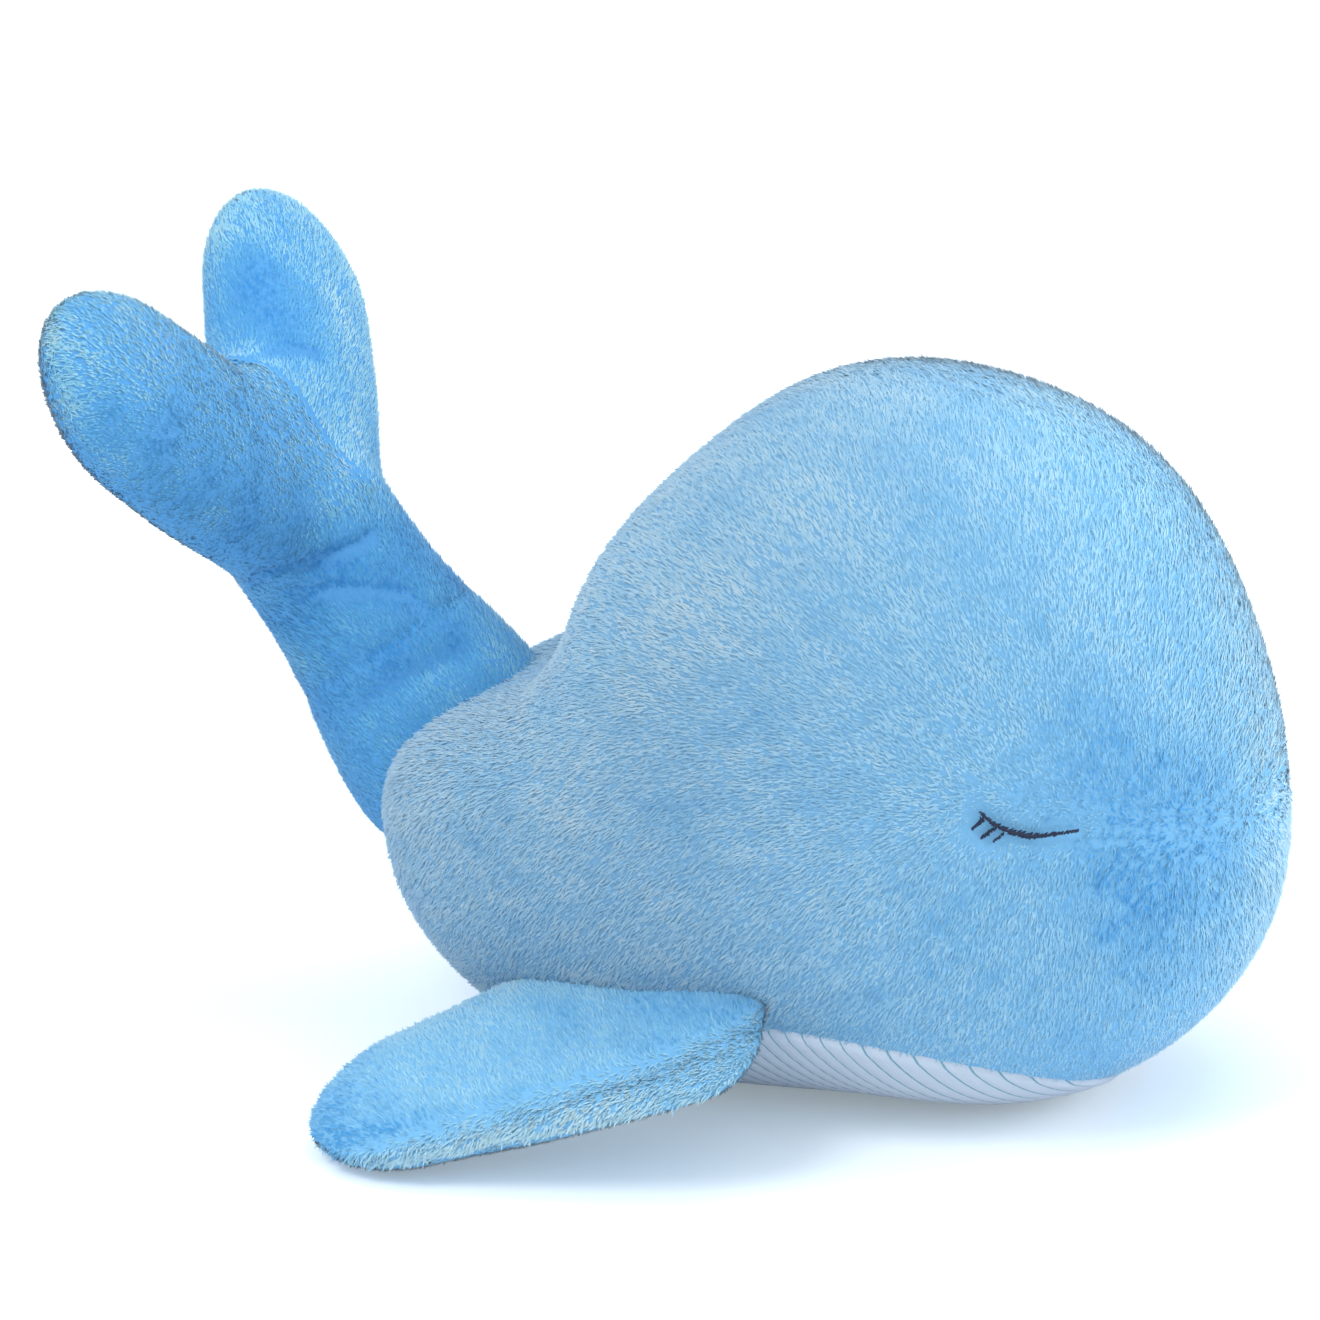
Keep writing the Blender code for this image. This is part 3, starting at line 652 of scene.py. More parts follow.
# the folds pressed into the flukes and the stalk's top, with painted shade in the pile along them: places in
# mm, then depth and width in mm
FLUKE_CREASES = (
    (
        (
            (-149, -26, 112), (-141, -35, 116), (-135, -33, 118), (-131, -28, 120),
            (-126, -21, 123), (-121, -16, 125), (-118, -12, 127),
        ),
        1.6,
        2.0,
    ),
    (
        (
            (-136, -29, 111), (-132, -27, 112), (-126, -24, 114), (-119, -21, 114),
            (-114, -18, 114), (-110, -15, 113), (-106, -14, 111), (-103, -14, 108),
        ),
        1.0,
        2.4,
    ),
    (((-161, -4, 170), (-156, 1, 169), (-153, 12, 166), (-147, 19, 164)), 0.7, 2.4),
    (((-146, -30, 165), (-144, -28, 161), (-141, -26, 158), (-140, -27, 155)), 0.7, 2.4),
)  # fmt: skip
STALK_TONES = (
    ((-117, -23, 108), 16, -0.16),
    ((-102, -14, 107), 14, -0.20),
)


def tone(points, tones):
    """Broad soft differences of shade about a few places."""
    total = np.zeros(len(points))
    for place, radius, amount in tones:
        total += amount * np.exp(-((points - np.array(place) * MM) ** 2).sum(1) / (radius * MM) ** 2)
    return total


def right_side(points):
    """Places of both sides carried over to the right side."""
    return np.stack([points[:, 0], -np.abs(points[:, 1]), points[:, 2]], -1)


def limb_nap(limb, fan, points):
    """Nap from a limb's root to its tip, opening out by fan across its width towards the tip."""
    share, across, _ = limb.local(points)
    open_out = (smooth(share, 0.45, 1.0) * fan * across)[:, None]
    return unit(limb.axis + limb.side * open_out)


# ---------------------------------------------------------------- materials

# between these places along the whale its pile turns from the rear tint to its own colour
REAR_FADE = (-0.03, 0.10)
# what the fins' and the tail's light levels are multiplied by
FIN_CAST = (0.96, 0.94, 0.91)
DEEP_CAST = (0.95, 0.96, 0.92)
RIBS_IN_STRIPE = 17.0
RIB_PERIOD = 0.00038
TWIST_PER_MM = 40.0


def tint(code):
    """A colour written as on a screen, as the light levels that Blender mixes."""
    values = [int(code[k : k + 2], 16) / 255 for k in (1, 3, 5)]
    return tuple(v / 12.92 if v <= 0.04045 else ((v + 0.055) / 1.055) ** 2.4 for v in values)


class Wire:
    """A socket in a material: arithmetic on it adds the Math nodes that work it out."""

    def __init__(self, tree, socket):
        self.tree = tree
        self.socket = socket

    def node(self, kind, settings=None, inputs=None, out=0):
        """Any node: its type, its settings, and values or links for its sockets."""
        made = self.tree.nodes.new(kind)
        for key, value in (settings or {}).items():
            if key == "stops":
                ramp = made.color_ramp
                while len(ramp.elements) > 1:
                    ramp.elements.remove(ramp.elements[-1])
                for number, (place, colour) in enumerate(value):
                    stop = ramp.elements[0] if number == 0 else ramp.elements.new(place)
                    stop.position = place
                    stop.color = (*colour, 1)
            else:
                setattr(made, key, value)
        for key, value in (inputs or {}).items():
            target = made.inputs[key]
            if isinstance(value, Wire):
                self.tree.links.new(value.socket, target)
            elif value is not None:
                target.default_value = (*value, 1) if target.type == "RGBA" and len(value) == 3 else value
        return Wire(self.tree, made.outputs[out] if made.outputs else None)

    def maths(self, operation, *values):
        return self.node("ShaderNodeMath", {"operation": operation}, dict(enumerate(values)))

    def __add__(self, other):
        return self.maths("ADD", self, other)

    __radd__ = __add__

    def __sub__(self, other):
        return self.maths("SUBTRACT", self, other)

    def __rsub__(self, other):
        return self.maths("SUBTRACT", other, self)

    def __mul__(self, other):
        return self.maths("MULTIPLY", self, other)

    __rmul__ = __mul__

    def step(self, low, high):
        """Eased step of the value from 0 at low to 1 at high."""
        return self.node(
            "ShaderNodeMapRange",
            {"interpolation_type": "SMOOTHSTEP"},
            {"Value": self, "From Min": low, "From Max": high},
        )

    def mix(self, one, other, factor, blend="MIX"):
        """Two colours mixed."""
        return self.node(
            "ShaderNodeMix",
            {"data_type": "RGBA", "blend_type": blend},
            {0: factor, 6: one, 7: other},
            out=2,
        )


def new_material(name):
    """An empty material and a wire to start from."""
    material = bpy.data.materials.new(name)
    material.use_nodes = True
    material.node_tree.nodes.clear()
    return material, Wire(material.node_tree, None)


def finish_material(wire, inputs):
    """The surface shader, joined to the material's output."""
    shader = wire.node("ShaderNodeBsdfPrincipled", {}, inputs)
    wire.node("ShaderNodeOutputMaterial", {}, {"Surface": shader})


def map_axes(wire, name):
    """A place on a UV map, and its two axes."""
    place = wire.node("ShaderNodeUVMap", {"uv_map": name})
    first = wire.node("ShaderNodeSeparateXYZ", {}, {0: place})
    return place, first, Wire(wire.tree, first.socket.node.outputs[1])


def camera_ray(wire):
    """1 where the camera itself looks at the surface, 0 for light that bounces off it."""
    path = wire.node("ShaderNodeLightPath")
    return Wire(wire.tree, path.socket.node.outputs["Is Camera Ray"])


def rear_fade(wire, colour, settings):
    """The same colour turned greyer from the head to the rump, along the whale's length."""
    place = wire.node("ShaderNodeTexCoord", out=3)
    forward = wire.node("ShaderNodeSeparateXYZ", {}, {0: place})
    greyed = wire.mix(colour, tuple(settings.rear), 1.0, "MULTIPLY")
    return wire.mix(greyed, colour, forward.step(*REAR_FADE))


def pile_material(name, colours, root, sheen, settings, fades=False, cast=None):
    """Fibre: its shade along the map's first axis, darker towards the root along its second.

    It may fade to the rear, and a cast is multiplied over its colours."""
    material, wire = new_material(name)
    _, shade, along = map_axes(wire, "OFBake")
    shades = wire.node("ShaderNodeValToRGB", {"stops": colours}, {0: shade})
    base = wire.mix(root, shades, along.step(settings.root_end, settings.tip_start))
    if fades:
        base = rear_fade(wire, base, settings)
    if cast:
        base = wire.mix(base, cast, 1.0, "MULTIPLY")
    finish_material(
        wire,
        {
            "Base Color": base,
            "Roughness": 0.85,
            "Specular IOR Level": 0.15,
            "Sheen Weight": sheen,
            "Sheen Roughness": 0.45,
            "Sheen Tint": tint("#e4f0fb"),
        },
    )
    return material


def skin_material(name, colour, settings, fades=False):
    """The knitted ground under the pile."""
    material, wire = new_material(name)
    place = wire.node("ShaderNodeTexCoord", out=3)
    noise = wire.node("ShaderNodeTexNoise", {}, {"Vector": place, "Scale": 900.0, "Detail": 2.0})
    shade = wire.mix(colour, tuple(c * 0.8 for c in colour), noise)
    if fades:
        shade = rear_fade(wire, shade, settings)
    bump = wire.node("ShaderNodeBump", {}, {"Strength": 0.4, "Distance": 0.0004, "Height": noise})
    finish_material(wire, {"Base Color": shade, "Roughness": 0.9, "Specular IOR Level": 0.1, "Normal": bump})
    return material


def cotton_material(settings):
    """Woven cotton with thin printed-in stripes: the map's first axis counts stripes and its
    second runs across, and both weave directions show as fine ribs."""
    material, wire = new_material("belly_cotton")
    place, along, across = map_axes(wire, "Cloth")
    wobble = wire.node("ShaderNodeTexNoise", {}, {"Vector": place, "Scale": 9.0, "Detail": 3.0})
    count = along + (wobble - 0.5) * 0.05
    gap = wire.maths("ABSOLUTE", wire.maths("FRACT", count + 0.5) - 0.5)
    half = settings.line_width / settings.stripe_period / 2
    line = 1 - gap.step(half * 0.55, half * 1.5)
    fibre = wire.node("ShaderNodeTexNoise", {}, {"Vector": place, "Scale": 60.0, "Detail": 4.0})
    pale = wire.mix(tuple(settings.cloth), tint("#bccde2"), fibre.step(0.35, 0.75) * 0.5)
    base = wire.mix(pale, tuple(settings.line), line * (0.55 + fibre * 0.5))
    warp = wire.maths("SINE", along * (2 * math.pi * RIBS_IN_STRIPE))
    weft = wire.maths("SINE", across * (2 * math.pi / RIB_PERIOD))
    weave = warp * weft * 0.5 + fibre * 0.6
    bump = wire.node(
        "ShaderNodeBump", {}, {"Strength": 0.35, "Distance": 0.0003, "Height": weave - line * 1.2}
    )
    finish_material(
        wire,
        {
            "Base Color": base,
            "Roughness": 0.8,
            "Specular IOR Level": 0.2,
            "Sheen Weight": 0.15,
            "Normal": bump,
        },
    )
    return material


def thread_material(settings):
    """Glossy embroidery thread: fine twist along each stitch."""
    material, wire = new_material("eye_thread")
    _, along, around = map_axes(wire, "Stitch")
    twist = wire.maths("SINE", along * TWIST_PER_MM + around * (2 * math.pi))
    base = wire.mix(tuple(settings.thread), tint("#2b3e6e"), twist.step(0.2, 1.0) * 0.5)
    bump = wire.node("ShaderNodeBump", {}, {"Strength": 0.5, "Distance": 0.0001, "Height": twist})
    finish_material(
        wire,
        {"Base Color": base, "Roughness": 0.42, "Specular IOR Level": 0.5, "Normal": bump},
    )
    return material


# ---------------------------------------------------------------- settings


class WhalePileSettings(PropertyGroup):
    """The napped plush."""

    length: FloatProperty(
        name="Pile length", description="Length of a tuft", default=0.0032, unit="LENGTH"
    )
    width: FloatProperty(
        name="Tuft width", description="Width of a tuft", default=0.00054, unit="LENGTH"
    )
    lift: FloatProperty(
        name="Lift", description="Angle of a tuft above the cloth, in degrees", default=18.0
    )
    density: FloatProperty(name="Density", description="Tufts on a square millimetre", default=2.6)
    depth: FloatProperty(
        name="Pile depth", description="From the cloth to the pile's top", default=0.0016, unit="LENGTH"
    )
    evenness: FloatProperty(
        name="Evenness", description="Share of the cloth's own slope in a tuft's shading", default=0.88
    )
    fleck: FloatProperty(
        name="Fleck", description="How much neighbouring tufts differ in shade", default=0.085
    )
    root_end: FloatProperty(
        name="Root end", description="Share of a tuft that is all root colour", default=0.0
    )
    tip_start: FloatProperty(
        name="Tip start", description="Share of a tuft where its own colour is full", default=0.75
    )
    pale: FloatVectorProperty(
        name="Pale", description="Palest fibre", subtype="COLOR", default=tint("#cdeffb")
    )
    light: FloatVectorProperty(
        name="Light", description="Light blue fibre", subtype="COLOR", default=tint("#a9ddf8")
    )
    middle: FloatVectorProperty(
        name="Middle", description="Middle blue fibre", subtype="COLOR", default=tint("#87c9f3")
    )
    deep: FloatVectorProperty(
        name="Deep", description="Deepest fibre", subtype="COLOR", default=tint("#49a2e6")
    )
    root: FloatVectorProperty(
        name="Root", description="Fibre at its root", subtype="COLOR", default=tint("#78bff0")
    )
    rear: FloatVectorProperty(
        name="Rear", description="Tint of the pile at the rump", subtype="COLOR", default=(0.93, 0.77, 0.73)
    )
    ground: FloatVectorProperty(
        name="Ground", description="Cloth under the pile", subtype="COLOR", default=tint("#82c2ee")
    )


class WhaleBellySettings(PropertyGroup):
    """The striped belly."""

    stripe_period: FloatProperty(
        name="Stripe period", description="From one line to the next", default=0.0064, unit="LENGTH"
    )
    line_width: FloatProperty(
        name="Line width", description="Width of a line", default=0.0006, unit="LENGTH"
    )
    slant: FloatProperty(
        name="Slant", description="How far lines move forward for each step in from the right seam",
        default=0.49,
    )
    puff: FloatProperty(
        name="Puff", description="How far the cloth swells between lines", default=0.0004, unit="LENGTH"
    )
    cloth: FloatVectorProperty(
        name="Cloth", description="Cotton", subtype="COLOR", default=tint("#d1dce9")
    )
    line: FloatVectorProperty(
        name="Line", description="Stripe", subtype="COLOR", default=tint("#4a9aae")
    )


class WhaleEyeSettings(PropertyGroup):
    """The stitched eyes."""

    spacing: FloatProperty(
        name="Stitch spacing", description="From one stitch to the next", default=0.00036, unit="LENGTH"
    )
    slant: FloatProperty(
        name="Slant", description="Turn of the stitches from straight across", default=0.6, subtype="ANGLE"
    )
    thread_radius: FloatProperty(
        name="Thread radius", description="Half a stitch's width", default=0.00027, unit="LENGTH"
    )
    thread: FloatVectorProperty(
        name="Thread", description="Thread", subtype="COLOR", default=tint("#141d38")
    )


class WhaleStageSettings(PropertyGroup):
    """The studio."""

    azimuth: FloatProperty(
        name="Azimuth", description="The camera's turn round the whale, in degrees", default=20.0
    )
    elevation: FloatProperty(
        name="Elevation", description="The camera's height above the horizon, in degrees", default=18.0
    )
    distance: FloatProperty(
        name="Distance", description="From the camera to the whale", default=2.0, unit="LENGTH"
    )
    pixel: FloatProperty(
        name="Pixel", description="Size at the whale of one of the picture's 1320 pixels",
        default=0.000255, unit="LENGTH",
    )
    key: FloatProperty(name="Key light", description="Power of the key light", default=4.35)
    fill: FloatProperty(
        name="World light", description="Strength of the light from all round", default=0.9
    )
    floor: FloatVectorProperty(
        name="Floor", description="Floor", subtype="COLOR", default=tint("#f2f4f8")
    )


def whale_materials():
    """The finishes, made once."""
    if "body_pile" in bpy.data.materials:
        return {m.name: m for m in bpy.data.materials}
    pile = bpy.context.scene.whale_pile
    belly = bpy.context.scene.whale_belly
    light = (
        (0.0, tuple(pile.deep)),
        (0.3, tuple(pile.middle)),
        (0.62, tuple(pile.light)),
        (1.0, tuple(pile.pale)),
    )
    deep = (
        (0.0, tint("#3f96e4")),
        (0.35, tint("#63b4ec")),
        (0.7, tint("#96d2ee")),
        (1.0, tint("#c6e6f2")),
    )
    pile_material("body_pile", light, tuple(pile.root), 0.5, pile, fades=True)
    pile_material("fin_pile", light, tuple(pile.root), 0.5, pile, cast=FIN_CAST)
    pile_material("deep_pile", deep, tint("#6bb2e8"), 0.45, pile, cast=DEEP_CAST)
    skin_material("body_ground", tuple(pile.ground), pile, fades=True)
    skin_material("fin_ground", tuple(pile.ground), pile)
    skin_material("deep_ground", tint("#5fa6e0"), pile)
    cotton_material(belly)
    thread_material(bpy.context.scene.whale_eye)
    return {m.name: m for m in bpy.data.materials}


def pile_density():
    return bpy.context.scene.whale_pile.density * 1e6 * 1.0


# ---------------------------------------------------------------- body


def body_shell(inset, rows=130, columns=240):
    """The body's surface, drawn in from the solids' outline, with a groove pressed in under
    the long stroke of each eye."""
    shell = ball_shell(lambda around, lift: body_surface(around, lift, inset), rows, columns)
    for hand in (RIGHT, LEFT):
        shell.press(eye_lines(hand, EYE_SINK)[0], 0.9 * MM, 3.2 * MM)
    return shell


def in_arch(points, margin=0.0):
    """Places inside the belly's arch, seen from the side, drawn in by a margin."""
    across = (points[..., 0] - ARCH_CENTRE) / (ARCH_HALF_LENGTH - margin)
    up = points[..., 2] / (ARCH_HEIGHT - margin)
    return across**2 + up**2 < 1


def tail_depth(points):
    """How far points lie inside the stalk, in metres, below nought outside."""
    share, across, up = TAIL.local(points)
    return (1 - np.hypot(across, up)) * TAIL_HALF_WIDTH * (share > 0) - (share <= 0)


def eye_point(run, drop, hand, sink):
    """Places on the flank, from runs and drops in the eye's own tilted side view."""
    forward = EYE_FORWARD + run * math.cos(EYE_TILT) - drop * math.sin(EYE_TILT)
    height = EYE_HEIGHT + run * math.sin(EYE_TILT) + drop * math.cos(EYE_TILT)
    return np.stack([forward, hand * (flank(forward, height) - sink), height], -1)


# how deep the eye's lines lie under the solids' face when the cloth and the pile look for them
EYE_SINK = 1.5 * MM
# the eye's strokes in its own side view: runs and drops in mm, then half widths in mm
EYE_STROKES = (
    (
        (
            (-11.2, 0.2), (-9.2, -1.0), (-7.2, -1.9), (-4.6, -2.6), (-2.0, -3.0),
            (1.1, -3.2), (4.1, -2.5), (7.7, -1.3), (11.3, 0.0),
        ),
        (0.26, 0.46, 0.64, 0.74, 0.92, 0.98, 0.64, 0.50, 0.34),
    ),
    (((-9.9, -1.0), (-10.8, -2.8), (-11.8, -4.4)), (0.72, 0.52, 0.22)),
    (((-6.6, -2.6), (-7.9, -4.4), (-9.2, -5.9)), (0.62, 0.60, 0.42)),
    (((-4.4, -3.6), (-5.4, -5.0), (-6.3, -6.1)), (0.30, 0.30, 0.18)),
)  # fmt: skip


def eye_strokes():
    """Each stroke's track and half width as smooth curves through its points, in metres."""
    made = []
    for track, widths in EYE_STROKES:
        shares = np.linspace(0, 1, 8 * len(track))
        runs, drops = (open_curve([spot[k] for spot in track], shares) for k in range(2))
        made.append((np.stack([runs, drops], -1) * MM, open_curve(widths, shares) * MM))
    return made


def eye_lines(hand, sink):
    """The strokes as lines of places on one flank."""
    return [eye_point(track[:, 0], track[:, 1], hand, sink) for track, _ in eye_strokes()]


# the body's pile is split by places along it, to keep each piece small: from, and up to
BODY_ZONES = {"rump": (-1, -0.030), "flank": (-0.030, 0.022), "cheek": (0.022, 0.068), "face": (0.068, 1)}
SIDES = (("right", RIGHT), ("left", LEFT))


class WHALE_OT_body(Operator):
    """The body: its cloth, and the napped pile of its two side panels"""

    bl_idname = "whale.body"
    bl_label = "Body and pile"

    def execute(self, context):
        pile = context.scene.whale_pile
        finish = whale_materials()
        shell = body_shell(pile.depth)
        skin = skin_object("body_cloth", shell, finish["body_ground"])
        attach(skin, "body")
        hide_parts("right_side_panel", "left_side_panel", "body_filling")
        eyes = [line for hand in (RIGHT, LEFT) for line in eye_lines(hand, EYE_SINK)]

        fields = [(word, hand, zone) for word, hand in SIDES for zone in BODY_ZONES]
        for number, (word, hand, zone) in enumerate(fields):
            behind, ahead = BODY_ZONES[zone]

            def keep(points):
                here = (points[:, 1] * hand >= 0) & (points[:, 0] >= behind) & (points[:, 0] < ahead)
                return here & ~in_arch(points, 1.5 * MM) & (tail_depth(points) < 9 * MM)

            roots, normals = shell.scatter(pile_density(), keep, seed=11 + number)
            near_eye = np.sqrt(np.min([nearest(roots, eye)[0] for eye in eyes], axis=0))
            stay = near_eye > 0.55 * MM
            roots, normals, near_eye = roots[stay], normals[stay], near_eye[stay]
            nap = body_nap(roots)
            shade = 0.50 + 0.07 * ripple(roots, 40 * MM, 5) + 0.06 * ripple(roots, 9 * MM, 6)
            shade += 0.05 * ripple(roots, 4 * MM, 7)
            shade += tone(right_side(roots), BODY_TONES_AND_SHEEN)
            length = 0.42 + 0.58 * smooth(near_eye, 0.6 * MM, 5.0 * MM)
            length *= 0.8 + 0.2 * smooth(np.linalg.norm(nap, axis=1), 0.15, 0.7)
            arrays = pile_arrays(roots, normals, nap, pile, 21 + number, shade, length)
            made = pile_object(f"{word}_{zone}_pile", arrays, finish["body_pile"])
            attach(made, "body")
        return {"FINISHED"}


class WHALE_OT_belly(Operator):
    """The striped cotton belly"""

    bl_idname = "whale.belly"
    bl_label = "Striped belly"

    def execute(self, context):
        belly = context.scene.whale_belly
        finish = whale_materials()
        points, faces, places = belly_arrays(belly)
        made = mesh_object("striped_belly", points, faces)
        set_map(made, "Cloth", places)
        made.data.materials.append(finish["belly_cotton"])
        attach(made, "body")
        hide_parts("belly_panel")
        return {"FINISHED"}


def belly_arrays(belly, rows=220, columns=110):
    """The belly: at each place along it, the body's cross-cut from the right arch edge, under
    the floor of the body, to the left one, drawn in to the pile's ground at its edges.

    The height rises from the body's underside as the squareness power of the way across, which
    spaces the points evenly, and the cloth swells between its lines by a sine's power.
    """
    bottom_angle = np.linspace(np.pi, 2 * np.pi, 4000)
    bottom_x = body_reach(bottom_angle) * np.cos(bottom_angle)
    bottom_z = BODY_CENTRE_HEIGHT + body_reach(bottom_angle) * np.sin(bottom_angle)
    order = np.argsort(bottom_x)

    def underside(x):
        return np.interp(x, bottom_x[order], bottom_z[order])

    def arch(x):
        return ARCH_HEIGHT * np.sqrt(np.maximum(1 - ((x - ARCH_CENTRE) / ARCH_HALF_LENGTH) ** 2, 0))

    tries = np.linspace(ARCH_CENTRE - ARCH_HALF_LENGTH, ARCH_CENTRE + ARCH_HALF_LENGTH, 4000)
    inside = tries[arch(tries) > underside(tries) + 0.0002]
    low, high = inside.min(), inside.max()
    s = np.sin(np.linspace(-np.pi / 2, np.pi / 2, rows))
    x = (low + high) / 2 + s * (high - low) / 2
    q = np.linspace(-1, 1, columns)
    xs, qs = np.meshgrid(x, q, indexing="ij")
    floor_z = underside(xs)
    top_z = np.maximum(arch(xs), floor_z + 1e-5)
    z = floor_z + (top_z - floor_z) * np.abs(qs) ** 2.4
    y = np.sign(qs) * flank(xs, z)
    outer = np.stack([xs, y, z], -1)
    steps = np.linalg.norm(np.diff(outer, axis=1), axis=-1)
    across = np.concatenate([np.zeros((rows, 1)), np.cumsum(steps, 1)], 1)
    width = across[:, -1:]
    tracks = np.linspace(-0.25, 0.25, 2000)
    crowding = 1 + 0.55 * (1 - smooth(tracks, 6 * MM, 40 * MM)) * smooth(tracks, -30 * MM, 0)
    counts = np.cumsum(crowding) * (tracks[1] - tracks[0]) / belly.stripe_period
    count = np.interp(xs - belly.slant * across, tracks, counts)
    centre = np.array((0, 0, BODY_CENTRE_HEIGHT))
    du, dv = np.gradient(outer, axis=0), np.gradient(outer, axis=1)
    normals = unit(np.cross(du, dv))
    normals *= np.sign(dot(normals, outer - centre))
    edge = np.minimum(across, width - across)
    ends = np.minimum(xs - low, high - xs)
    near_edge = np.minimum(edge, ends)
    swell = np.abs(np.sin(np.pi * count)) ** 0.7
    sunk = 0.7 * MM + (1 - smooth(near_edge, 0, 4.5 * MM)) * 2.4 * MM - belly.puff * swell
    points = outer - normals * sunk[..., None]
    points[..., 2] = np.maximum(points[..., 2], 0.1 * MM)
    back = outer - normals * (sunk + 0.6 * MM)[..., None]
    back[..., 2] = np.maximum(back[..., 2], 0.5 * MM)
    return closed_sheet(points, back, np.stack([count, across], -1))


def closed_sheet(front, back, places):
    """A thin closed sheet: a front grid, a back grid, and the strip that joins their edges."""
    rows, columns = front.shape[:2]
    count = rows * columns
    face = grid_faces(rows, columns, False)
    index = np.arange(count).reshape(rows, columns)
    rim = np.concatenate([index[:, 0], index[-1, 1:], index[-2::-1, -1], index[0, -2:0:-1]])
    after = np.roll(rim, -1)
    strip = np.concatenate(
        [np.stack([rim, after, after + count], -1), np.stack([rim, after + count, rim + count], -1)]
    )
    points = np.concatenate([front.reshape(-1, 3), back.reshape(-1, 3)])
    a, b, c = (points[face[:, k]] for k in range(3))
    if (np.cross(b - a, c - a) * (a - (0, 0, BODY_CENTRE_HEIGHT))).sum() < 0:
        face = face[:, ::-1]
    # the strip takes the front's edges the other way, so that all facets look outwards
    runs = zip(face.ravel().tolist(), np.roll(face, -1, 1).ravel().tolist())
    if (int(rim[0]), int(rim[1])) in set(runs):
        strip = strip[:, ::-1]
    faces = np.concatenate([face, face[:, ::-1] + count, strip])
    return points, faces, np.concatenate([places.reshape(-1, 2)] * 2)


class WHALE_OT_eyes(Operator):
    """The eyes: satin stitches across an arc, and three lashes at its rear end"""

    bl_idname = "whale.eyes"
    bl_label = "Stitched eyes"

    def execute(self, context):
        eye = context.scene.whale_eye
        finish = whale_materials()
        for word, hand in SIDES:
            points, faces, places = eye_arrays(eye, hand)
            made = mesh_object(f"{word}_eye_stitches", points, faces)
            set_map(made, "Stitch", places)
            made.data.materials.append(finish["eye_thread"])
            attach(made, "body")
            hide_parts(f"{word}_eye")
        return {"FINISHED"}


def eye_arrays(eye, hand, rings=7, sides=6):
    """Stitches as short bars: they stand side by side along each stroke, each crosses it at a
    slant from edge to edge, and bows out from the flank at its middle."""
    picker = np.random.default_rng(3)
    runs = []
    for track, widths in eye_strokes():
        steps = np.linalg.norm(np.diff(track, axis=0), axis=1)
        reach = np.concatenate([[0], np.cumsum(steps)])
        count = int(reach[-1] / eye.spacing)
        spots = (np.arange(count) + 0.5) / count * reach[-1]
        centre = np.stack([np.interp(spots, reach, track[:, k]) for k in range(2)], -1)
        half = np.interp(spots, reach, widths)[:, None]
        heading = unit(np.stack([np.interp(spots, reach, np.gradient(track[:, k])) for k in range(2)], -1))
        cross = np.stack([-heading[:, 1], heading[:, 0]], -1)
        slant = (eye.slant + picker.normal(0, 0.16, count))[:, None]
        arm = cross * np.cos(slant) + heading * np.sin(slant)
        stray = picker.normal(0, 0.10 * MM, (2, count, 2))
        runs.append((centre - arm * half + stray[0], centre + arm * half + stray[1], half))
    start, end, half = (np.concatenate(part) for part in zip(*runs))
    shares = np.linspace(0, 1, rings)
    all_points, all_faces, all_places = [], [], []
    offset = 0
    for low, high, size in zip(start, end, half[:, 0]):
        track = low + (high - low) * shares[:, None]
        lift = (0.25 * MM + 0.35 * size) * np.sin(np.pi * shares)
        path = eye_point(track[:, 0], track[:, 1], hand, 0.85 * MM - lift)
        heading = unit(np.gradient(path, axis=0))
        out = np.tile(np.array((0.35, hand * 1.0, 0.15)), (rings, 1))
        out = unit(out - heading * dot(out, heading))
        across = np.cross(heading, out)
        round_end = eye.thread_radius * np.sqrt(np.sin(np.pi * (0.06 + 0.88 * shares)))[:, None]
        ring = tube_points(path, across * round_end, out * round_end * 1.1, sides)
        points = np.concatenate([ring.reshape(-1, 3), [path[0], path[-1]]])
        turn = np.arange(sides)
        first = np.stack([np.full(sides, rings * sides), turn, (turn + 1) % sides], -1)
        base = (rings - 1) * sides
        last = np.stack([np.full(sides, rings * sides + 1), base + (turn + 1) % sides, base + turn], -1)
        shell = Shell(points, np.concatenate([grid_faces(rings, sides, True), first, last])).outward()
        all_points.append(shell.points)
        all_faces.append(shell.faces + offset)
        offset += len(points)
        u, v = np.meshgrid(shares * np.linalg.norm(high - low) / MM, turn / sides, indexing="ij")
        spot = np.stack([u.ravel(), v.ravel()], -1)
        all_places.append(np.concatenate([spot, [(0, 0), (u.max(), 0)]]))
    return np.concatenate(all_points), np.concatenate(all_faces), np.concatenate(all_places)


# ---------------------------------------------------------------- tail and flukes


def tail_place(along, front, side):
    """A place on the stalk: how far up it, and its share to the front and to the left."""
    share = np.array((along + TAIL_ROOT_RADIUS) / TAIL.length)
    return (
        TAIL_PIVOT
        + TAIL_AXIS * along
        - TAIL.up * tail_thickness(share) * front
        + TAIL.side * float(TAIL.half_width(share)) * side
    )


# the crease where the stalk rises out of the rump: mm up it, shares to the front and to the left
TAIL_CREASE = ((20.3, -0.27, -0.96), (21, 0.02, -1), (20, 0.56, -0.83), (18, 0.86, -0.51))


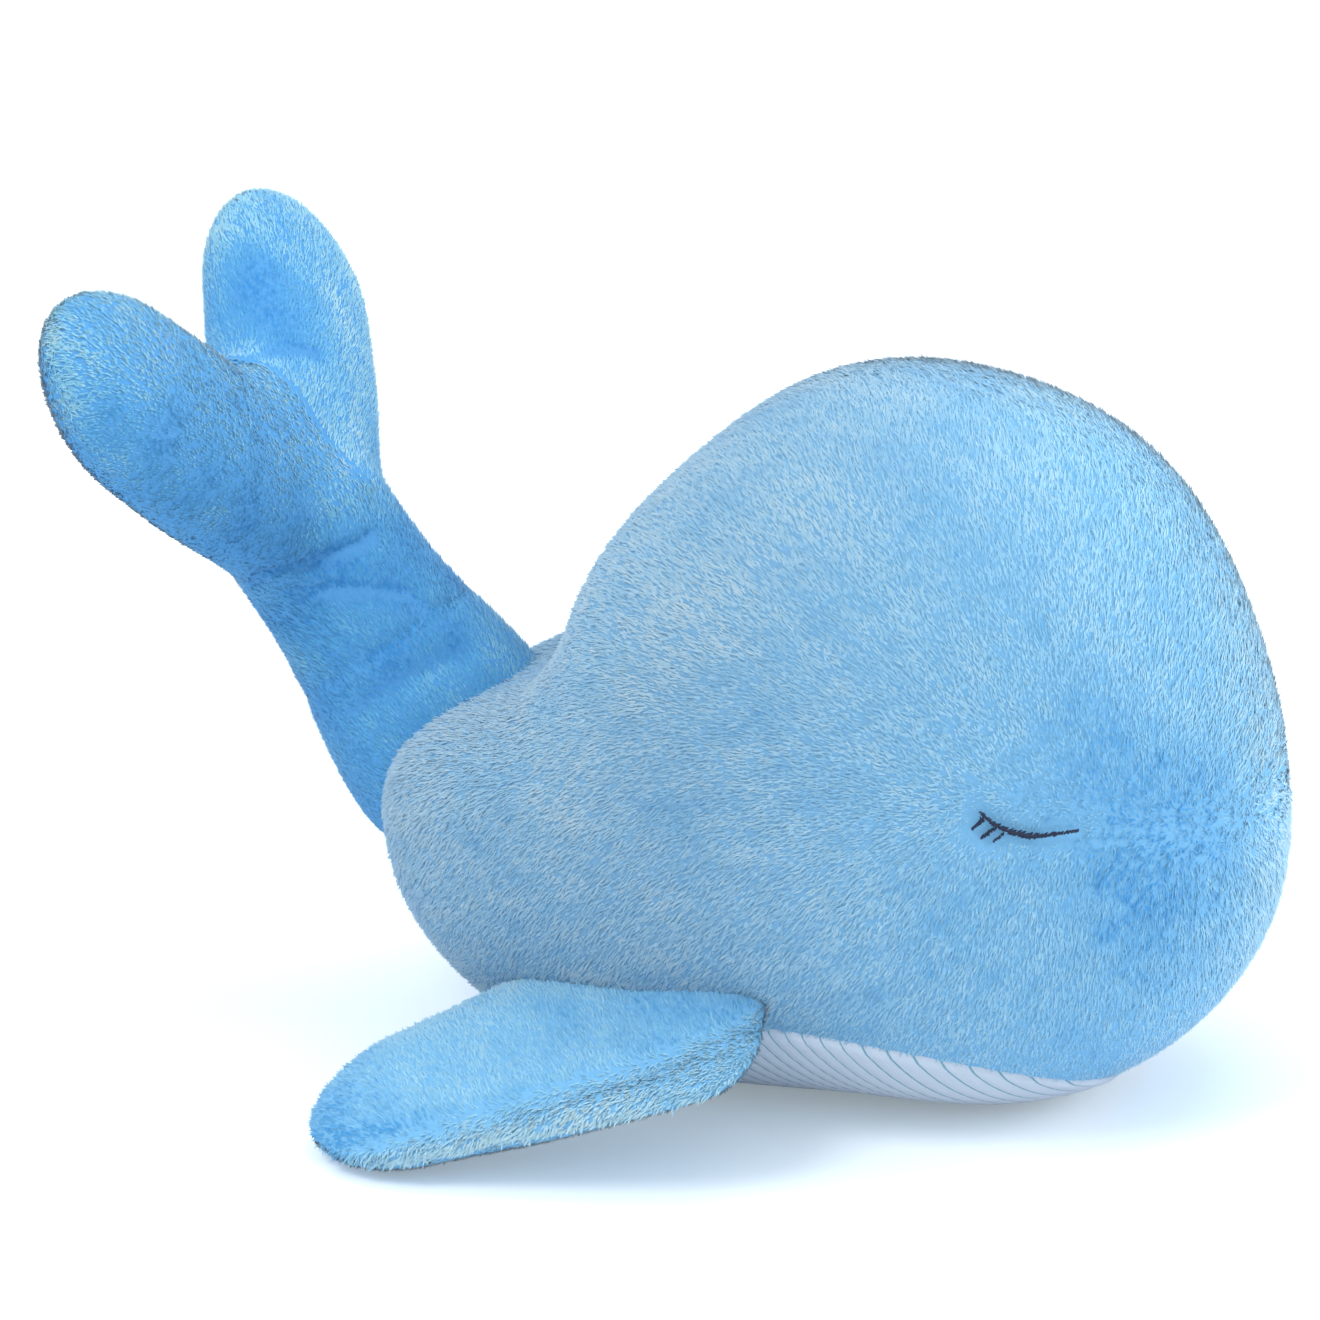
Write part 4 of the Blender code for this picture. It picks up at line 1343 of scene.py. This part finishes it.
class WHALE_OT_tail(Operator):
    """The tail stalk: its cloth and its pile"""

    bl_idname = "whale.tail"
    bl_label = "Tail stalk"

    def execute(self, context):
        pile = context.scene.whale_pile
        finish = whale_materials()
        shell = ball_shell(lambda around, lift: TAIL.surface(around, lift, pile.depth), 90, 110)
        crease = [tail_place(along * MM, front, side) for along, front, side in TAIL_CREASE]
        shell.press(crease, 1.6 * MM, 3.0 * MM)
        upper = smooth((shell.points - TAIL_PIVOT) @ TAIL_AXIS, 24 * MM, 34 * MM)
        shell.points -= shell.normals * (upper * 0.8 * MM)[:, None]
        shell.renew()
        skin = skin_object("tail_cloth", shell, finish["deep_ground"])
        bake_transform(skin)
        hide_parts("tail_right_panel", "tail_left_panel", "tail_filling")

        def keep(points):
            up = (points - TAIL_PIVOT) @ TAIL_AXIS
            return (body_depth(points) < 9 * MM) & (up < 30 * MM)

        roots, normals = shell.scatter(pile_density(), keep, seed=31)
        shade = 0.26 + 0.10 * ripple(roots, 14 * MM, 8) + 0.20 * smooth(roots[:, 0], -0.125, -0.09)
        shade += tone(roots, STALK_TONES)
        # painted shade: the pile darker in and beside the crease where the stalk rises out of the rump
        away = np.sqrt(nearest(roots, crease)[0])
        shade -= 0.25 * (1 - smooth(away, 0.5 * MM, 4 * MM))
        arrays = pile_arrays(roots, normals, limb_nap(TAIL, 0, roots), pile, 32, shade, 0.9)
        made = pile_object("tail_pile", arrays, finish["deep_pile"])
        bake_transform(made)
        return {"FINISHED"}


# the stalk's top is part of the flukes' cloth from here up, and so is the palm that the lobes share
SLEEVE_START = 0.024
SLEEVE_LENGTH = TAIL_LENGTH - SLEEVE_START + TAIL_TOP_RADIUS
SLEEVE_ROUND = 0.004
PALM_SINK = 4 * MM
PALM_LENGTH = 54 * MM
PALM_HALF_THICKNESS = 19 * MM
PALM_HALF_WIDTH = 27 * MM
PALM_ROUNDS = (12 * MM, 22 * MM)
LOBE_FAN = 0.9
VOXEL = 1.3 * MM


def sleeve_share(share):
    """Shares along the sleeve as shares along the whole stalk."""
    return (share * SLEEVE_LENGTH + SLEEVE_START + TAIL_ROOT_RADIUS) / TAIL.length


def fluke_limbs():
    """The sleeve, the palm, and the lobe of each side."""
    sleeve = Limb(
        TAIL_PIVOT + TAIL_AXIS * SLEEVE_START,
        TAIL_AXIS,
        (0, 1, 0),
        SLEEVE_LENGTH,
        lambda share: tail_thickness(sleeve_share(share)),
        lambda share: TAIL.half_width(sleeve_share(share)),
        (SLEEVE_ROUND, TAIL_TOP_RADIUS),
    )
    palm = Limb(
        FLUKE_PIVOT - FLUKE_AXIS * PALM_SINK,
        FLUKE_AXIS,
        (0, 1, 0),
        PALM_LENGTH,
        lambda share: PALM_HALF_THICKNESS * np.ones_like(share),
        lambda share: PALM_HALF_WIDTH * np.ones_like(share),
        PALM_ROUNDS,
    )
    return sleeve, palm, lobe_limb(RIGHT), lobe_limb(LEFT)


def fluke_zone(points):
    """1 on the right lobe, 2 on the left, 0 on the stalk."""
    past = (points - FLUKE_PIVOT) @ FLUKE_AXIS
    on_lobe = (past > 2 * MM) | (np.abs(points[:, 1]) > 30 * MM)
    return np.where(on_lobe, np.where(points[:, 1] < 0, 1, 2), 0)


class WHALE_OT_flukes(Operator):
    """The fluke lobes and the stalk's top that carries them: one cloth, and a pile on each"""

    bl_idname = "whale.flukes"
    bl_label = "Flukes"

    def execute(self, context):
        pile = context.scene.whale_pile
        finish = whale_materials()
        limbs = fluke_limbs()
        lobes = dict(zip((RIGHT, LEFT), limbs[2:]))
        shells = [
            ball_shell(lambda around, lift, limb=limb: limb.surface(around, lift, pile.depth), 90, 100)
            for limb in limbs
        ]
        shell = joined_shell(shells, VOXEL, 10)
        away = np.linalg.norm(shell.points - FLUKE_PIVOT, axis=1)
        shell.relax(90, 0.5 * (1 - smooth(away, 34 * MM, 56 * MM)))
        creases = [shell.onto(line) for line, _, _ in FLUKE_CREASES]
        for line, (_, depth, width) in zip(creases, FLUKE_CREASES):
            shell.press(line, depth * MM, width * MM)
        skin = skin_object("fluke_cloth", shell, finish["deep_ground"])
        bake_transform(skin)
        panels = ("front_panel", "back_panel", "filling")
        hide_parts(*[f"{word}_fluke_{part}" for word, _ in SIDES for part in panels])

        for number, name in enumerate(("tail_top_pile", "right_fluke_pile", "left_fluke_pile")):

            def keep(points):
                above = (points - TAIL_PIVOT) @ TAIL_AXIS > 26 * MM
                return (fluke_zone(points) == number) & above

            roots, normals = shell.scatter(pile_density(), keep, seed=41 + number)
            up = smooth((roots - FLUKE_PIVOT) @ FLUKE_AXIS, -12 * MM, 18 * MM)[:, None]
            hand = np.where(roots[:, 1:2] < 0, 1, 0)
            right, left = (limb_nap(lobes[side], LOBE_FAN, roots) for side in (RIGHT, LEFT))
            nap = (right * hand + left * (1 - hand)) * up + limb_nap(TAIL, 0, roots) * (1 - up)
            shade = 0.24 + 0.36 * up[:, 0] + 0.10 * ripple(roots, 22 * MM, 9)
            shade += 0.04 * ripple(roots, 6 * MM, 10)
            shade += tone(roots, FLUKE_TONES)
            # painted shade: the pile darker in and beside the pressed folds
            away = np.sqrt(np.min([nearest(roots, line)[0] for line in creases], axis=0))
            shade -= 0.40 * (1 - smooth(away, 0.3 * MM, 3.4 * MM))
            if number:
                # painted highlight: each lobe paler towards its side edges and its tip, as a rim lit by
                # sheen
                share, across, _ = lobes[RIGHT if number == 1 else LEFT].local(roots)
                shade += 0.12 * smooth(np.abs(across), 0.72, 1.0) + 0.14 * smooth(share, 0.93, 1.0)
            # on the stalk and where a lobe faces down, tufts stand up more, or the cloth would bury them
            flatter = 0.02 - 0.09 * smooth(-normals[:, 2], 0.05, 0.6) if number else -0.12
            arrays = pile_arrays(roots, normals, nap, pile, 51 + number, shade, 0.85, flatter)
            made = pile_object(name, arrays, finish["deep_pile"])
            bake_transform(made)
        return {"FINISHED"}


# ---------------------------------------------------------------- fins


# the seam on a fin's upper face and the hollow behind it: share along it, then degrees round
# from its front edge
FIN_SEAM = ((0.03, 40), (0.25, 46), (0.48, 38), (0.71, 30), (0.98, 22))
FIN_HOLLOW = ((0.32, 82), (0.43, 80), (0.56, 78))


def fin_places(fin, hand, track, inset):
    """Places on a fin from shares along it and degrees round it, its front edge at nought."""
    share, turn = np.array(track, float).T
    return fin.surface(np.radians(-hand * turn), np.arcsin(2 * share - 1), inset)


class WHALE_OT_fins(Operator):
    """The fins: their cloth and their pile, set into the flank"""

    bl_idname = "whale.fins"
    bl_label = "Fins"

    def execute(self, context):
        pile = context.scene.whale_pile
        finish = whale_materials()
        for number, (word, hand) in enumerate(SIDES):
            fin = fin_limb(hand)
            inset = pile.depth * 0.9
            seam = fin_places(fin, hand, FIN_SEAM, inset)
            shell = ball_shell(lambda around, lift: fin.surface(around, lift, inset), 110, 130)
            shell.press(seam, 1.1 * MM, 3.0 * MM)
            shell.press(fin_places(fin, hand, FIN_HOLLOW, inset), 1.6 * MM, 11 * MM)
            root = fin.root + fin.axis * FIN_SINK
            start, end = root - fin.axis * 0.006, root + fin.axis * 0.010
            skin = skin_object(f"{word}_fin_cloth", shell, finish["fin_ground"])
            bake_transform(skin)
            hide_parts(*[f"{word}_fin_{part}" for part in ("upper_panel", "lower_panel", "filling")])

            roots, normals = shell.scatter(
                pile_density(), lambda points: body_depth(points) < 7 * MM, seed=61 + number
            )
            share, across, up = fin.local(roots)
            turn = np.degrees(np.arctan2(-hand * up, across))
            past_seam = turn - np.interp(share, *np.array(FIN_SEAM).T)
            upper = smooth(past_seam, -6, 6)[:, None]
            to_tip = smooth(share, 0.72, 1.0)[:, None]
            nap = (fin.axis * (0.22 + 0.9 * to_tip) - fin.side) * upper
            nap += (fin.axis * 0.66 + fin.side * 0.75) * (1 - upper)
            nap = unit(nap) * (0.55 + 0.45 * smooth(np.abs(past_seam), 0, 14))[:, None]
            shade = 0.46 + 0.46 * (1 - upper[:, 0])
            shade += 0.06 * ripple(roots, 18 * MM, 12)
            shade += 0.04 * ripple(roots, 5 * MM, 13)
            # painted shade: the pile darker in the seam's groove and in the hollow behind it
            along_seam = np.sqrt(nearest(roots, seam)[0])
            shade -= 0.34 * (1 - smooth(along_seam, 0.4 * MM, 6.0 * MM)) * smooth(share, 0.15, 0.4)
            in_hollow = ((share - 0.43) / 0.15) ** 2 + ((turn - 80) / 32) ** 2
            shade -= 0.16 * np.exp(-in_hollow)
            shade += 0.10 * smooth(turn, 95, 150) - 0.36 * smooth(share, 0.66, 1.0)
            # painted shade: darker towards the root, where the fin goes in under the flank
            shade -= 0.26 * (1 - smooth(share, 0.20, 0.36))
            # tufts stand up more under the seam, where the cloth would bury them
            flatter = -0.11 * (1 - upper[:, 0])
            arrays = pile_arrays(roots, normals, nap, pile, 71 + number, shade, 0.9, flatter)
            made = pile_object(f"{word}_fin_pile", arrays, finish["fin_pile"])
            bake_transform(made)
        return {"FINISHED"}


# ---------------------------------------------------------------- stage


FLOOR_HALF = 6.0
# each lamp's place, size, and share of the key light's power
LAMPS = (
    ("key_light", (-0.7, -1.3, 1.9), 1.1, 4),
    ("top_light", (0.2, 0.5, 2.1), 1.4, 2),
    ("side_light", (1.7, 0.9, 0.7), 1.2, 3.6),
)
LAMP_AIM = (0, 0, 0.08)
PICTURE_SIDE = 1320
# where the frame's origin shows in the photograph, in pixels across and down
ORIGIN_PIXEL = (834, 1046)


class WHALE_OT_stage(Operator):
    """The pale floor, the soft lights and the camera"""

    bl_idname = "whale.stage"
    bl_label = "Stage"

    def execute(self, context):
        stage = context.scene.whale_stage
        corners = np.array(((-1, -1, 0), (1, -1, 0), (1, 1, 0), (-1, 1, 0))) * FLOOR_HALF
        floor = mesh_object("floor", corners, np.array(((0, 1, 2), (0, 2, 3))))
        material, wire = new_material("floor_paper")
        seen = camera_ray(wire)
        finish_material(
            wire,
            {
                "Base Color": tuple(stage.floor),
                "Roughness": 0.9,
                "Specular IOR Level": 0.1,
                "Emission Color": (0.8, 0.94, 1.0),
                "Emission Strength": seen * 0.28,
            },
        )
        floor.data.materials.append(material)

        world = bpy.data.worlds.new("studio")
        world.use_nodes = True
        world.node_tree.nodes.clear()
        wire = Wire(world.node_tree, None)
        seen = camera_ray(wire)
        light = wire.node("ShaderNodeBackground", {}, {"Color": (0.86, 0.94, 1.0), "Strength": stage.fill})
        back = wire.node("ShaderNodeBackground", {}, {"Color": (1.0, 1.0, 1.0), "Strength": 1.0})
        both = wire.node("ShaderNodeMixShader", {}, {0: seen, 1: light, 2: back})
        wire.node("ShaderNodeOutputWorld", {}, {"Surface": both})
        context.scene.world = world

        for name, place, size, share in LAMPS:
            lamp = bpy.data.lights.new(name, "AREA")
            lamp.shape = "DISK"
            lamp.size = size
            lamp.energy = stage.key * share
            holder = bpy.data.objects.new(name, lamp)
            context.scene.collection.objects.link(holder)
            holder.location = place
            holder.rotation_mode = "QUATERNION"
            holder.rotation_quaternion = (Vector(place) - Vector(LAMP_AIM)).to_track_quat("Z", "Y")

        turn, rise = math.radians(stage.azimuth), math.radians(stage.elevation)
        level = math.cos(rise)
        back_way = Vector((math.sin(turn) * level, -math.cos(turn) * level, math.sin(rise)))
        right_way = Vector((math.cos(turn), math.sin(turn), 0))
        up_way = Vector((-math.sin(rise) * math.sin(turn), math.sin(rise) * math.cos(turn), level))
        middle, (across, down) = PICTURE_SIDE // 2, ORIGIN_PIXEL
        target = right_way * (middle - across) * stage.pixel + up_way * (down - middle) * stage.pixel
        lens = bpy.data.cameras.new("camera")
        lens.sensor_width = 36
        lens.lens = lens.sensor_width * stage.distance / (PICTURE_SIDE * stage.pixel)
        lens.clip_end = 50
        camera = bpy.data.objects.new("camera", lens)
        context.scene.collection.objects.link(camera)
        camera.matrix_world = Matrix.Translation(target + back_way * stage.distance) @ (
            Matrix((right_way, up_way, back_way)).transposed().to_4x4()
        )
        context.scene.camera = camera
        context.scene.view_settings.view_transform = "Standard"
        return {"FINISHED"}


class WHALE_PT_panel(Panel):
    """Plush whale tools"""

    bl_label = "Plush Whale"
    bl_space_type = "VIEW_3D"
    bl_region_type = "UI"
    bl_category = "Plush Whale"

    def draw(self, context):
        for settings in ("whale_pile", "whale_belly", "whale_eye", "whale_stage"):
            group = getattr(context.scene, settings)
            box = self.layout.box()
            for name in group.bl_rna.properties.keys():
                if name not in ("rna_type", "name"):
                    box.prop(group, name)
        for step in STEPS:
            self.layout.operator(step.bl_idname)


STEPS = (
    WHALE_OT_stage,
    WHALE_OT_body,
    WHALE_OT_belly,
    WHALE_OT_eyes,
    WHALE_OT_tail,
    WHALE_OT_flukes,
    WHALE_OT_fins,
)
SETTINGS = {
    "whale_pile": WhalePileSettings,
    "whale_belly": WhaleBellySettings,
    "whale_eye": WhaleEyeSettings,
    "whale_stage": WhaleStageSettings,
}


def register():
    for name, group in SETTINGS.items():
        bpy.utils.register_class(group)
        setattr(bpy.types.Scene, name, PointerProperty(type=group))
    for step in (*STEPS, WHALE_PT_panel):
        bpy.utils.register_class(step)


def unregister():
    for step in (*STEPS, WHALE_PT_panel):
        bpy.utils.unregister_class(step)
    for name, group in SETTINGS.items():
        delattr(bpy.types.Scene, name)
        bpy.utils.unregister_class(group)


def main():
    register()
    for step in STEPS:
        family, name = step.bl_idname.split(".")
        getattr(getattr(bpy.ops, family), name)()


if __name__ == "__main__":
    main()
